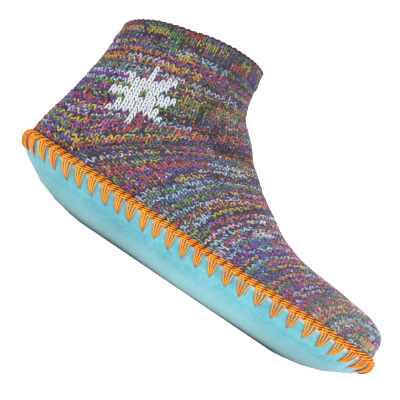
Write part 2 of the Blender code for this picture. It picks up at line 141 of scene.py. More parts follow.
TOE_ROW = 86.0            # where the toes begin
SOFT_ROW = 84.0           # from here on the knit is felted and softer in colour
LAST_ROW = 104.7
LAST_BASE_S = 0.903

# Density of the form that the knitting is laid on
HEEL_COLUMNS = 24
TOP_COLUMNS = 36
HALF_COLUMNS = 120
ROW_STEP = 0.5


MIDDLE = np.array([SOLE_LENGTH / 2.0, 0.0, 0.0])   # from the heel tip to the middle of the part


def linear(hex_colour):
    """Turn an sRGB hex colour into linear values."""
    channels = [int(hex_colour[i:i + 2], 16) / 255.0 for i in (1, 3, 5)]
    return tuple(c / 12.92 if c <= 0.04045 else ((c + 0.055) / 1.055) ** 2.4 for c in channels)


def ease(value):
    """Go from 0 to 1 with level ends."""
    value = np.clip(value, 0.0, 1.0)
    return value * value * (3.0 - 2.0 * value)


def unit(vectors):
    """Vectors of length 1 in the same directions."""
    return vectors / np.linalg.norm(vectors, axis=-1, keepdims=True)


def way_along(points):
    """Distance of each point of a line from its start, along the line."""
    return np.concatenate([[0.0], np.cumsum(np.linalg.norm(np.diff(points, axis=0), axis=1))])


# Form of the last

def height(share):
    """Turn a height share of a ring table into metres above the floor."""
    if share <= 1.0:
        return INSTEP_HEIGHT * share
    return INSTEP_HEIGHT + (LEG_HEIGHT - INSTEP_HEIGHT) * (share - 1.0)


def station_of(turn):
    """Distance from the heel tip for an outline parameter from 0, heel tip, to 1, toe tip."""
    return SOLE_LENGTH * (1.0 - math.cos(math.pi * turn)) / 2.0


def turn_of(station):
    """Outline parameter for a distance from the heel tip."""
    return math.acos(1.0 - 2.0 * min(max(station / SOLE_LENGTH, 0.0), 1.0)) / math.pi


def outline_y(station, side):
    """Distance of the suede's edge from the centre line, signed, on one side."""
    heel_end = HEEL_STATION * SOLE_LENGTH
    waist_at = WAIST_STATION * SOLE_LENGTH
    ball_share = BALL_STATION_OUTER if side == OUTER else BALL_STATION_INNER
    ball_at = ball_share * SOLE_LENGTH
    waist = WAIST_OUTER if side == OUTER else WAIST_INNER
    if station < heel_end:
        rest = (heel_end - station) / heel_end
        return side * HEEL_WIDTH / 2.0 * (1.0 - rest ** HEEL_ROUNDNESS) ** (1.0 / HEEL_ROUNDNESS)
    if station < waist_at:
        share = ease((station - heel_end) / (waist_at - heel_end))
        return side * (HEEL_WIDTH / 2.0 + (waist - HEEL_WIDTH / 2.0) * share)
    if station < ball_at:
        share = ease((station - waist_at) / (ball_at - waist_at))
        return side * (waist + (BALL_WIDTH / 2.0 - waist) * share)
    rest = min((station - ball_at) / (SOLE_LENGTH - ball_at), 1.0)
    cap = (1.0 - rest ** TOE_ROUNDNESS) ** (1.0 / TOE_ROUNDNESS)
    return TOE_SHIFT + (side * BALL_WIDTH / 2.0 - TOE_SHIFT) * cap


def turn_frame(turn, side):
    """Spine point, edge point and shape of the suede's turn at one place of the outline."""
    station = station_of(turn)
    edge = np.array([station, outline_y(station, side)])
    run = SPINE_INSET + (1.0 - 2.0 * SPINE_INSET) * station / SOLE_LENGTH
    spine = np.array([run * SOLE_LENGTH, TOE_SHIFT * run * run])
    reach = math.hypot(*(edge - spine))
    tip = ((edge - spine)[0] / reach) ** 2
    width = SIDE_TURN + (TIP_TURN - SIDE_TURN) * tip
    power = SIDE_TURN_POWER + (TIP_TURN_POWER - SIDE_TURN_POWER) * tip
    top = EDGE_HEIGHT + TIP_RISE * tip
    return spine, edge, width / reach, power, top


def raw_wall(turn, side, climb):
    """Point of the suede's outer face: climb 0 is the rim of the flat tread, 1 the top edge."""
    spine, edge, width, power, top = turn_frame(turn, side)
    reach = 1.0 - width * (1.0 - climb)
    flat = spine + (edge - spine) * reach
    rise = top * (1.0 - (1.0 - climb ** power) ** (1.0 / power))
    return np.array([flat[0], flat[1], rise])


def wall(turn, side, climb, out=0.0):
    """Point of the suede's face moved out along its normal by a signed distance."""
    step = 0.002
    here = raw_wall(turn, side, climb)
    turn_a = max(turn - step, 0.0)
    turn_b = min(turn + step, 1.0)
    climb_a = max(climb - step, 0.0)
    climb_b = min(climb + step, 1.0)
    along = raw_wall(turn_b, side, climb) - raw_wall(turn_a, side, climb)
    up = raw_wall(turn, side, climb_b) - raw_wall(turn, side, climb_a)
    if climb == 0.0:
        normal = np.array([0.0, 0.0, -1.0])
    else:
        if turn in (0.0, 1.0):
            along = np.array([0.0, side, 0.0]) * (1.0 if turn == 0.0 else -1.0)
        if climb == 1.0:
            up = np.array([0.0, 0.0, 1.0])
        normal = unit(np.cross(along, up) * (1.0 if side == OUTER else -1.0))
    return here + normal * out


def climb_at(turn, side, drop):
    """Climb of the point that lies a given height under the top edge."""
    power, top = turn_frame(turn, side)[3:]
    share = min(max(drop / top, 0.0), 1.0)
    return (1.0 - share ** power) ** (1.0 / power)


def edge_point(turn, side, out=0.0):
    """Point on the suede's top edge."""
    return wall(turn, side, 1.0, out)


def border_point(turn, side):
    """Point where the knit comes out from behind the edging, close inside the suede's edge."""
    return edge_point(turn, side, -(SOLE_WALL + GAP)) + np.array([0.0, 0.0, BRAID_ABOVE + GAP])


def arc(side_at, front_at, bulge, slope, crown):
    """Arc of one ring from its side to the front centre line, as a function of 0 to 1."""
    chord = math.hypot(front_at[0] - side_at[0], front_at[2] - side_at[2])
    handle = ARC_REACH * chord
    lean = math.copysign(bulge, side_at[1])
    angle = math.radians(slope)
    first = side_at + handle * np.array([math.cos(angle), lean, math.sin(angle)])
    second = front_at + np.array([0.0, crown * (side_at[1] - front_at[1]), 0.0])

    def at(share):
        rest = 1.0 - share
        return (rest ** 3 * side_at + 3 * rest ** 2 * share * first
                + 3 * rest * share ** 2 * second + share ** 3 * front_at)
    return at


def front_point(ring):
    """Point of a ring on the centre line of the front and the top, which turns in with the toe."""
    return np.array([ring.front_s * SOLE_LENGTH, TOE_SHIFT * ring.front_s ** 2, height(ring.front_z)])


def leg_ring(ring, side):
    """Points of one leg ring on one side, from the back centre line to the front one."""
    half = side * LEG_WIDTH / 2.0 * ring.side_y
    back_x, side_x = ring.back_s * SOLE_LENGTH, ring.side_s * SOLE_LENGTH
    back_z, side_z = height(ring.back_z), height(ring.side_z)
    points = []
    for column in range(HEEL_COLUMNS):
        angle = math.pi / 2.0 * column / HEEL_COLUMNS
        along = math.cos(angle) ** (2.0 / LEG_ROUNDNESS)
        out = math.sin(angle) ** (2.0 / LEG_ROUNDNESS)
        climb = (1.0 - along) ** ring.bend
        points.append(np.array([side_x - (side_x - back_x) * along, half * out,
                                back_z + (side_z - back_z) * climb]))
    curve = arc(np.array([side_x, half, side_z]), front_point(ring), LEG_BULGE, ring.slope, ring.crown)
    return points + [curve(column / TOP_COLUMNS) for column in range(TOP_COLUMNS + 1)]


def foot_ring(ring, side):
    """Points of one foot ring on one side, from the suede's edge to the top centre line."""
    base = border_point(turn_of(ring.base_s * SOLE_LENGTH), side)
    curve = arc(base, front_point(ring), ring.bulge, ring.slope, ring.crown)
    return [curve(column / TOP_COLUMNS) for column in range(TOP_COLUMNS + 1)]


def smooth_through(rows, values, at):
    """Value at a row of a smooth curve that passes through the given rows."""
    count = len(rows)
    index = min(max(int(np.searchsorted(rows, at)) - 1, 0), count - 2)
    slopes = [(values[i + 1] - values[i]) / (rows[i + 1] - rows[i]) for i in range(count - 1)]

    def tangent(i):
        if i == 0:
            return slopes[0]
        if i == count - 1:
            return slopes[-1]
        before, after = rows[i] - rows[i - 1], rows[i + 1] - rows[i]
        return (slopes[i - 1] * after + slopes[i] * before) / (before + after)
    span = rows[index + 1] - rows[index]
    t = (at - rows[index]) / span
    return ((2 * t ** 3 - 3 * t ** 2 + 1) * values[index]
            + (t ** 3 - 2 * t ** 2 + t) * span * tangent(index)
            + (3 * t ** 2 - 2 * t ** 3) * values[index + 1]
            + (t ** 3 - t ** 2) * span * tangent(index + 1))


def ring_tables(side):
    """Rows and points of the leg rings and of the foot rings on one side, the heel turn in both."""
    heel_last = turn_of(FOOT_RINGS[0].base_s * SOLE_LENGTH)
    heel = [border_point(heel_last * column / HEEL_COLUMNS, side) for column in range(HEEL_COLUMNS)]
    leg_rows = [ring.row for ring in LEG_RINGS] + [TURN_ROW]
    turn_ring = heel + foot_ring(FOOT_RINGS[0], side)
    leg_table = np.array([leg_ring(ring, side) for ring in LEG_RINGS] + [turn_ring])
    toe_first = turn_of(LAST_BASE_S * SOLE_LENGTH)
    last = [border_point(toe_first + (1.0 - toe_first) * column / TOP_COLUMNS, side)
            for column in range(TOP_COLUMNS + 1)]
    foot_rows = [ring.row for ring in FOOT_RINGS] + [LAST_ROW]
    foot_table = np.array([foot_ring(ring, side) for ring in FOOT_RINGS] + [last])
    return leg_rows, leg_table, foot_rows, foot_table


def even_points(points, count):
    """Points at equal distances along a line of points, and the line's length."""
    way = way_along(points)
    at = np.linspace(0.0, way[-1], count)
    return np.stack([np.interp(at, way, points[:, axis]) for axis in range(3)], axis=1), way[-1]


def form_rings(side):
    """Rings of the upper's outer face on one side, from the front or top centre line outwards."""
    leg_rows, leg_table, foot_rows, foot_table = ring_tables(side)
    over_rows = leg_rows[:-1] + foot_rows
    over_table = np.concatenate([leg_table[:-1, HEEL_COLUMNS:], foot_table])
    share = np.arange(TOP_COLUMNS + 1) / TOP_COLUMNS
    bases = np.array([ring.base_s for ring in FOOT_RINGS] + [LAST_BASE_S])
    leg, foot = [], []
    for row in np.linspace(0.0, TURN_ROW, round(TURN_ROW / ROW_STEP) + 1):
        points = smooth_through(leg_rows, leg_table, row)
        over = smooth_through(over_rows, over_table, row)
        points[HEEL_COLUMNS:] += ease(2.0 * share)[:, None] * (over - points[HEEL_COLUMNS:])
        leg.append(points[::-1])
    for row in np.linspace(TURN_ROW, LAST_ROW, round((LAST_ROW - TURN_ROW) / ROW_STEP) + 1):
        points = smooth_through(foot_rows, foot_table, row)
        over = smooth_through(over_rows, over_table, row)
        points = points + ease(2.0 * share)[:, None] * (over - points)
        base = border_point(turn_of(smooth_through(foot_rows, bases, row) * SOLE_LENGTH), side)
        points = points + ((1.0 - share) ** 3)[:, None] * (base - points[0])
        foot.append(points[::-1])
    return leg, foot


# The knit's own grid: row, and share of the way round from -1, outer side, over 0, front or top, to 1

Grid = namedtuple("Grid", "rows points normals reach folds closed turn_wale")
Crease = namedtuple("Crease", "from_s from_z to_s to_z width depth")

# Soft folds of the knit on the outer side: places as shares of the length and of the leg's height,
# width and depth in metres. A depth below 0 is a ridge.
CREASES = (
    Crease(0.296, 0.77, 0.350, 0.60, 0.0014, 0.0013),
    Crease(0.314, 0.78, 0.366, 0.61, 0.0013, 0.0011),
    Crease(0.332, 0.77, 0.381, 0.62, 0.0014, 0.0013),
    Crease(0.351, 0.76, 0.396, 0.64, 0.0013, 0.0010),
    Crease(0.315, 0.93, 0.300, 0.80, 0.0026, 0.0007),
    Crease(0.350, 0.90, 0.345, 0.82, 0.0026, 0.0007),
    Crease(0.390, 0.66, 0.470, 0.70, 0.0044, -0.0009),
    Crease(0.400, 0.60, 0.490, 0.63, 0.0040, 0.0009),
    Crease(0.060, 0.55, 0.160, 0.47, 0.0050, 0.0007),
)
SLACK = 0.0006            # how far the loose knit wavers
SLACK_LENGTH = 0.016      # from one waver to the next


def outward(points, closed):
    """Outward directions of a grid of points: rows by places round."""
    down = np.gradient(points, axis=0)
    if closed:
        ring = points[:, :-1]
        around = np.roll(ring, -1, axis=1) - np.roll(ring, 1, axis=1)
        around = np.concatenate([around, around[:, :1]], axis=1)
    else:
        around = np.gradient(points, axis=1)
    normal = np.cross(down, around)
    return normal / np.maximum(np.linalg.norm(normal, axis=2), 1e-12)[:, :, None]


def fold(points):
    """How far the soft folds and the slack move each point of the knit outwards."""
    moved = np.zeros(points.shape[:2])
    flat = np.stack([points[:, :, 0], points[:, :, 2]], axis=2)
    for crease in CREASES:
        start = np.array([crease.from_s * SOLE_LENGTH, crease.from_z * LEG_HEIGHT])
        end = np.array([crease.to_s * SOLE_LENGTH, crease.to_z * LEG_HEIGHT])
        line = end - start
        share = ((flat - start) @ line) / (line @ line)
        nearest = start + np.clip(share, 0.0, 1.0)[:, :, None] * line
        apart = np.linalg.norm(flat - nearest, axis=2) / crease.width
        moved -= crease.depth * np.exp(-apart ** 2)
    for i in range(points.shape[0]):
        for j in range(points.shape[1]):
            moved[i, j] += SLACK * noise.noise(Vector(points[i, j]) / SLACK_LENGTH)
    return moved


def knit_grids():
    """The two grids that the knit is laid on: leg with heel cup, and foot."""
    rings = {side: form_rings(side) for side in (OUTER, INNER)}
    grids = []
    turn_wale = None
    for part, closed in ((0, True), (1, False)):
        points, reach = [], []
        for outer, inner in zip(rings[OUTER][part], rings[INNER][part]):
            outer_line, outer_reach = even_points(outer, HALF_COLUMNS + 1)
            inner_line, inner_reach = even_points(inner, HALF_COLUMNS + 1)
            points.append(np.concatenate([outer_line[:0:-1], inner_line]))
            reach.append((outer_reach, inner_reach))
        folds = fold(np.array(points))
        points = np.array(points) - MIDDLE
        points = points + outward(points, closed) * folds[:, :, None]
        reach = np.array(reach)
        if closed:
            turn_wale = reach[-1].mean() / LEG_WALES
        rows = np.linspace(0.0 if closed else TURN_ROW, TURN_ROW if closed else LAST_ROW, len(points))
        grids.append(Grid(rows, points, outward(points, closed), reach, folds, closed, turn_wale))
    return grids


def on_grid(grid, rows, shares, lift):
    """Points at given rows and shares of the way round, lifted off the form by a distance."""
    last_row = len(grid.rows) - 1
    row_at = np.clip((rows - grid.rows[0]) / (grid.rows[1] - grid.rows[0]), 0.0, last_row - 1e-6)
    columns = grid.points.shape[1] - 1
    column_at = (shares + 1.0) / 2.0 * columns
    column_at = column_at % columns if grid.closed else np.clip(column_at, 0.0, columns - 1e-6)
    i, j = row_at.astype(int), column_at.astype(int)
    a, b = (row_at - i)[..., None], (column_at - j)[..., None]

    def between(values):
        low = values[i, j] * (1.0 - b) + values[i, j + 1] * b
        high = values[i + 1, j] * (1.0 - b) + values[i + 1, j + 1] * b
        return low * (1.0 - a) + high * a
    return between(grid.points) + between(grid.normals) * np.asarray(lift)[..., None]


def fold_at(grid, rows, shares):
    """How far the nearest points of the form were moved by folds and slack."""
    row = np.rint((rows - grid.rows[0]) / (grid.rows[1] - grid.rows[0])).astype(int)
    column = np.rint((shares + 1.0) / 2.0 * (grid.points.shape[1] - 1)).astype(int)
    return grid.folds[np.clip(row, 0, len(grid.rows) - 1), np.clip(column, 0, grid.points.shape[1] - 1)]


def reach_at(grid, rows, outer):
    """Length of a ring from the centre line to its outer or inner end, at given rows."""
    index = np.where(outer, 0, 1)
    both = np.stack([np.interp(rows, grid.rows, grid.reach[:, side]) for side in (0, 1)], axis=-1)
    return np.take_along_axis(both, index[..., None], axis=-1)[..., 0]


# Meshes

def ring_faces(rings, around):
    """Four-cornered faces between rings that have the same number of points."""
    found = []
    for ring in range(rings - 1):
        for index in range(around):
            a, b = ring * around + index, ring * around + (index + 1) % around
            found.append((a, b, b + around, a + around))
    return found


def closed_faces(rings, around):
    """The same with a face over the first ring and one over the last."""
    last = (rings - 1) * around
    return ring_faces(rings, around) + [tuple(range(around))[::-1], tuple(range(last, last + around))]


def repeat_faces(faces, count, copies):
    """Faces of a template repeated for each copy."""
    base = np.array(faces)[None, :, :] + (np.arange(copies) * count)[:, None, None]
    return base.reshape(-1, base.shape[2]).tolist()


def link_object(name, mesh):
    """New object at the origin for a mesh, which is shaded smooth."""
    mesh.shade_smooth()
    thing = bpy.data.objects.new(name, mesh)
    bpy.context.scene.collection.objects.link(thing)
    return thing


def mesh_object(name, points, faces):
    """New object from points and faces."""
    mesh = bpy.data.meshes.new(name)
    mesh.from_pydata(points.tolist(), [], faces)
    mesh.update()
    return link_object(name, mesh)


def lofted(name, rings):
    """Closed form through rings of points that are measured from the heel tip."""
    return mesh_object(name, np.array(rings).reshape(-1, 3) - MIDDLE, closed_faces(len(rings), len(rings[0])))


def give(thing, name, kind, values):
    """Store values at the points of an object's mesh under a name."""
    attribute = thing.data.attributes.new(name, kind, "POINT")
    field = "color" if kind == "FLOAT_COLOR" else "vector" if kind == "FLOAT_VECTOR" else "value"
    attribute.data.foreach_set(field, np.asarray(values, dtype=np.float32).ravel())


def tube(points, radii, outs, tone_and_shade):
    """Corner points, strand places, faces and painted highlight levels of a closed tube along a line of
    points.

    The crown is a painted highlight mask: 1 along the top of the strand and 0 on its flanks and
    underneath, times the tone and painted shade of each point.
    """
    points = np.asarray(points, dtype=float)
    way = way_along(points)
    corners, places, painted_highlights = [], [], []
    for index, along in enumerate(unit(np.gradient(points, axis=0))):
        up = unit(outs[index] - along * (outs[index] @ along))
        aside = np.cross(along, up)
        for corner in range(THREAD_SIDES):
            angle = 2.0 * math.pi * corner / THREAD_SIDES
            corners.append(points[index] + radii[index] * (aside * math.cos(angle) + up * math.sin(angle)))
            places.append((way[index], math.cos(angle), math.sin(angle)))
            painted_highlights.append(tone_and_shade[index] * (1.0 - abs(math.cos(angle))) if math.sin(angle) > 0.0 else 0.0)
    return corners, places, closed_faces(len(points), THREAD_SIDES), painted_highlights


def join_tubes(name, tubes):
    """One object from many tubes."""
    points, places, faces, painted_highlights = [], [], [], []
    for corners, where, polygons, tube_highlights in tubes:
        base = len(points)
        points += corners
        places += where
        painted_highlights += tube_highlights
        faces += [tuple(base + i for i in polygon) for polygon in polygons]
    thing = mesh_object(name, np.array(points), faces)
    give(thing, "strand", "FLOAT_VECTOR", places)
    give(thing, "crown", "FLOAT", painted_highlights)
    return thing


# Knitting

LEG_WALES = 39            # columns of stitches on half of the leg, from the front to the back
RIB_WALES = 46            # ribs on half of the collar
FOOT_WALES = 42           # columns on half of the foot where it is widest
FOOT_WALE = 0.0032        # width of a column of stitches over the instep
TOE_WALE = 0.0026         # and over the toes
FOOT_REACH = 1.02         # share of the way round past which the suede hides a stitch
TEMPLATE_SIDES = 5        # corners round a leg of a stitch
THREAD_SIDES = 8          # corners round a strand of thread
COURSE_STEPS = 33         # rows at which a column's length is measured
STITCH_SEED = 5
STITCH_SHIFT = 0.035      # how far stitches stray, as a share of their own size
STITCH_PLUMP = 0.07       # how much they differ in width
STITCH_WAVER = 0.00006    # how much they differ in height over the form, in metres
PLY_PHASE = 0.02          # the plies of each leg start anywhere in this length of yarn
RIM_SEED = 13
RIM_LOOPS = 34            # loops of the cast-off on half of the collar
RIM_RUN = 4               # loops in one colour
RIM_ROW = 0.22            # row of the form on which they stand
RIM_HEIGHT = 0.0009       # how high they stand
RIM_THREAD = 0.00090      # half the thickness of the doubled yarn in them
RIM_STEPS = 7             # points along a loop
RIM_SPAN = (-0.15, 1.25)  # where a loop begins and ends, in shares of its width
RIM_BED = 0.0004          # how deep its ends lie in the collar
RIM_ARCH = 0.0005         # how far its middle stands out from them
RIM_TONES = (0.8, 1.3)    # how much the loops differ in brightness
RIM_MATE = 0.4            # brightness of the darker ply for the other
RIM_DYES = ("#8450b4", "#cc44a8", "#7c4a6a", "#5a6080", "#b04a80", "#8a5a50")
STAR_S = 0.190            # place of the star's middle, as a share of the length and of the leg's height
STAR_Z = 0.600
STAR_REACH = 0.0182       # from the middle of the star to the tip of a ray
STAR_NECK = 0.54          # radius between two rays, as a share of the reach
STAR_EYE = 0.0020         # half the width of the opening in its middle

Stitch = namedtuple("Stitch", "course wale top bottom")
StrandPoint = namedtuple("StrandPoint", "aside along lift wide thick")


# Half of a stitch, its legs meeting at the end that points to the collar. aside is a share of the
# column's width, along of the course's height, lift, wide and thick are metres.
STITCH_LEG = (
    StrandPoint(0.070, -0.26, -0.00060, 0.00034, 0.00038),
    StrandPoint(0.130, 0.08, 0.00000, 0.00054, 0.00054),
    StrandPoint(0.245, 0.50, 0.00008, 0.00062, 0.00058),
    StrandPoint(0.355, 0.92, -0.00022, 0.00054, 0.00050),
    StrandPoint(0.410, 1.30, -0.00090, 0.00034, 0.00038),
)
RIB_LEG = (
    StrandPoint(0.20, -0.08, -0.00060, 0.00032, 0.00040),
    StrandPoint(0.23, 0.14, -0.00005, 0.00042, 0.00054),
    StrandPoint(0.25, 0.50, 0.00015, 0.00046, 0.00060),
    StrandPoint(0.27, 0.86, -0.00002, 0.00042, 0.00054),
    StrandPoint(0.29, 1.10, -0.00065, 0.00032, 0.00040),
)


def leg_share(grid, rows, wales):
    """Share of the way round at which a column of the leg lies."""
    return wales / LEG_WALES + rows * 0.0


def rib_share(grid, rows, wales):
    """Share of the way round at which a rib of the collar lies."""
    return wales / RIB_WALES + rows * 0.0


def foot_share(grid, rows, wales):
    """Share of the way from the top centre line to the suede at which a column of the foot lies."""
    width = np.interp(rows, (TURN_ROW, BEND_ROW, TOE_ROW), (grid.turn_wale, FOOT_WALE, TOE_WALE))
    return wales * width / reach_at(grid, rows + wales * 0.0, wales + rows * 0.0 < 0.0)


def courses(grid, share_at, wales, first, last, course_height):
    """Stitches of one stretch of knitting, from one row of the form to another.

    Where the form is longer on one side than on the other, short courses fill the difference, as the
    short rows of a heel do: each has its full height where it is needed and runs out to nothing.
    """
    rows = np.linspace(first, last, COURSE_STEPS)
    grid_rows, grid_wales = np.meshgrid(rows, wales, indexing="ij")
    points = on_grid(grid, grid_rows, share_at(grid, grid_rows, grid_wales), grid_rows * 0.0)
    steps = np.linalg.norm(np.diff(points, axis=0), axis=2)
    way = np.concatenate([np.zeros((1, len(wales))), np.cumsum(steps, axis=0)])
    wanted = way[-1] / (course_height * (way[-1] / way[-1].mean()) ** 0.5)
    full = max(int(wanted.min()), 1)
    short = max(int(math.ceil(wanted.max() - full)), 0)
    order = sorted(range(short), key=lambda number: (number * 0.618) % 1.0)
    weights = []
    taken = 0
    for index in range(full + short):
        if (index + 1) * short // (full + short) > taken:
            weights.append(np.clip(wanted - full - order[taken], 0.0, 1.0))
            taken += 1
        else:
            weights.append(np.ones(len(wales)))
    weights = np.array(weights)
    ends = np.cumsum(weights, axis=0) / weights.sum(axis=0)
    starts = ends - weights / weights.sum(axis=0)
    found = []
    for column, wale in enumerate(wales):
        share = way[:, column] / way[-1, column]
        for index in range(full + short):
            if weights[index, column] >= 0.5:
                top, bottom = np.interp([starts[index, column], ends[index, column]], share, rows)
                found.append(Stitch(index, wale, top, bottom))
    return found, full + short


def leg_template(leg, wale, course):
    """Corner points, strand places and faces of a stitch's two legs in its own flat sizes."""
    centre = np.array([(p.aside * wale, p.along * course, p.lift) for p in leg])
    along = unit(np.gradient(centre, axis=0))
    aside = unit(np.cross(along, [0.0, 0.0, 1.0]))
    up = np.cross(aside, along)
    way = way_along(centre)
    points, places = [], []
    for index, p in enumerate(leg):
        for corner in range(TEMPLATE_SIDES):
            angle = 2.0 * math.pi * (corner + 0.5) / TEMPLATE_SIDES
            offset = aside[index] * p.wide * math.cos(angle) + up[index] * p.thick * math.sin(angle)
            points.append(centre[index] + offset)
            places.append((way[index], math.cos(angle), math.sin(angle)))
    points, places = np.array(points), np.array(places)
    quads = ring_faces(len(leg), TEMPLATE_SIDES)
    quads += [tuple(len(points) + i for i in face[::-1]) for face in quads]
    mirrored = points * np.array([-1.0, 1.0, 1.0])
    return np.concatenate([points, mirrored]), np.concatenate([places, places]), quads


def lay_stitches(name, grid, share_at, stitches, leg, wale, course, colours, lift):
    """Lay stitches on the form as one mesh, each leg in its own colour."""
    rng = np.random.default_rng(STITCH_SEED)
    template, places, quads = leg_template(leg, wale, course)
    count = len(template)
    copies = len(stitches)
    tops = np.array([s.top for s in stitches])[:, None]
    bottoms = np.array([s.bottom for s in stitches])[:, None]
    wales = np.array([s.wale for s in stitches])[:, None]
    shift = rng.normal(0.0, STITCH_SHIFT, (copies, 2))
    plump = rng.normal(1.0, STITCH_PLUMP, (copies, 1))
    aside = template[None, :, 0] / wale * plump + shift[:, :1]
    down = template[None, :, 1] / course + shift[:, 1:]
    rows = tops + (bottoms - tops) * down
    shares = share_at(grid, rows, wales + aside)
    raised = template[None, :, 2] + lift + rng.normal(0.0, STITCH_WAVER, (copies, 1))
    points = on_grid(grid, rows, shares, raised)
    thing = mesh_object(name, points.reshape(-1, 3), repeat_faces(quads, count, copies))
    half = count // 2
    plies = np.repeat(np.asarray(colours), half, axis=1)
    give(thing, "dye", "FLOAT_COLOR", plies[:, :, 0].reshape(-1, 4))
    give(thing, "mate", "FLOAT_COLOR", plies[:, :, 1].reshape(-1, 4))
    offsets = rng.uniform(0.0, PLY_PHASE, (copies, 2))
    strand = np.tile(places, (copies, 1, 1))
    strand[:, :half, 0] += offsets[:, :1]
    strand[:, half:, 0] += offsets[:, 1:]
    give(thing, "strand", "FLOAT_VECTOR", strand.reshape(-1, 3))
    return thing


def build_rim(grid):
    """Cast-off edge of the collar: a chain of slanting loops."""
    rng = random.Random(RIM_SEED)
    tubes, dyes, mates = [], [], []
    rows = np.full(RIM_STEPS, RIM_ROW)
    swell = np.sin(np.linspace(0.0, math.pi, RIM_STEPS))
    lift = CUFF_STEP - RIM_BED + RIM_ARCH * swell
    for loop in range(-RIM_LOOPS, RIM_LOOPS):
        shares = (loop + np.linspace(*RIM_SPAN, RIM_STEPS)) / RIM_LOOPS
        points = on_grid(grid, rows, shares, lift)
        over = unit(on_grid(grid, rows * 0.0, shares, lift) - on_grid(grid, rows + 1.0, shares, lift))
        points += over * (RIM_HEIGHT * (swell - 0.35 + rng.uniform(-0.1, 0.1)))[:, None]
        tubes.append(tube(points, RIM_THREAD * (0.55 + 0.45 * swell), over, swell))
        if loop % RIM_RUN == 0 or loop == -RIM_LOOPS:
            colour = np.array(linear(rng.choice(RIM_DYES)))
        tone = rng.uniform(*RIM_TONES)
        corners = len(tubes[-1][0])
        dyes += [(*(colour * tone), 0.0)] * corners
        mates += [(*(colour * tone * RIM_MATE), 0.0)] * corners
    thing = join_tubes("knit_rim", tubes)
    give(thing, "dye", "FLOAT_COLOR", dyes)
    give(thing, "mate", "FLOAT_COLOR", mates)
    return thing


def star_stitches(grid, stitches):
    """Which stitches belong to the white eight-pointed star on the outer ankle.

    Its chart is a rule: eight rays of equal length, narrowing to their tips.
    """
    middle = np.array([(STAR_S - 0.5) * SOLE_LENGTH, STAR_Z * LEG_HEIGHT])
    rows, shares = np.meshgrid(grid.rows, np.linspace(-0.9, -0.1, 161), indexing="ij")
    apart = np.linalg.norm(on_grid(grid, rows, shares, rows * 0.0)[:, :, (0, 2)] - middle, axis=2)
    nearest = np.unravel_index(np.argmin(apart), rows.shape)
    middle_row, middle_wale = rows[nearest], shares[nearest] * LEG_WALES
    ways = {}
    found = []
    for stitch in stitches:
        if stitch.wale not in ways:
            column = leg_share(grid, grid.rows, np.full(len(grid.rows), stitch.wale))
            ways[stitch.wale] = way_along(on_grid(grid, grid.rows, column, grid.rows * 0.0))
        ends = np.interp([(stitch.top + stitch.bottom) / 2.0, middle_row], grid.rows, ways[stitch.wale])
        down = abs(ends[0] - ends[1])
        across = abs(round(stitch.wale - middle_wale)) * FOOT_WALE
        ray = math.cos(8.0 * math.atan2(down, across))
        reach = STAR_REACH * ((1.0 + STAR_NECK) / 2.0 + (1.0 - STAR_NECK) / 2.0 * ray)
        found.append(STAR_EYE < math.hypot(across, down) < reach)
    return found


# Dye of the yarn: a dark ply is twisted with one that changes its colour in runs

Dye = namedtuple("Dye", "name colour weight")
DYES = (
    Dye("charcoal", "#3b3940", 0.07),
    Dye("plum", "#5c3f5a", 0.09),
    Dye("slate", "#6a7888", 0.08),
    Dye("brown", "#94624e", 0.06),
    Dye("coral", "#d85a5e", 0.11),
    Dye("orange", "#e08e48", 0.045),
    Dye("yellow", "#d6bc3e", 0.075),
    Dye("green", "#7ea64c", 0.07),
    Dye("teal", "#5e9e9c", 0.07),
    Dye("sky blue", "#a8d2ee", 0.08),
    Dye("blue", "#626fcc", 0.10),
    Dye("violet", "#8450b4", 0.11),
    Dye("magenta", "#c646a4", 0.045),
    Dye("lilac", "#d2c6e6", 0.05),
)


DYE_NAMES = [dye.name for dye in DYES]
DYE_WEIGHTS = [dye.weight for dye in DYES]
DARK_DYE = DYE_NAMES.index("charcoal")
DIM = {"charcoal", "plum", "slate", "brown", "teal", "blue", "violet"}
DIM_GLOW = 0.88
# Dyes of the three rows of the collar from the rim down, over the front and over the back
RIB_DYES = ((("teal", "slate", "coral", "slate"), ("brown", "teal", "coral", "slate")),
            (("slate", "green", "slate", "coral", "yellow"), ("yellow", "orange", "yellow", "green")),
            (("slate", "yellow", "violet", "teal", "coral"), ("charcoal", "sky blue", "plum", "slate")))
RIB_CHANGE = -16          # rib at which the back's colours begin
SOFT_DYES = ("lilac", "violet", "green", "magenta", "yellow", "coral", "sky blue", "teal", "slate")
FADED = "#77727a"         # grey that the marl takes where the leg's knit is stretched
FELTED = "#a8a0a0"        # and where the foot's knit is felted
YARN_SEED = 11
RUN_ROWS = 260            # more rows than the knit has
RUN_COLUMNS = 98          # and more columns
RUN_LENGTH = (4, 15)      # stitches in one colour
RIB_RUN_LENGTH = (2, 7)   # the same in the collar
ROW_CONTRAST = 0.90       # chance that a run in a bright row is bright, and in a dim row dim
KEPT_RUN = 0.84           # chance that a leg of a stitch has the colour of its run
KEPT_RIB_RUN = 0.80       # the same in the collar
PLY_GLOW = (0.78, 1.2)    # how much legs differ in brightness
# Painted shade in the soft folds of the knit:
FOLD_DEPTH = 0.0004       # depth from which a fold darkens the yarn
FOLD_SHADE = 0.60         # how much it darkens it at most
# Chance that the second ply has the run's dye, and that it has this or the dark one: calm and lively
CALM_PLIES = (0.50, 0.80)
LIVELY_PLIES = (0.30, 0.66)


def draw_dye(rng):
    """Number of a dye, drawn by weight."""
    return rng.choices(range(len(DYES)), DYE_WEIGHTS)[0]


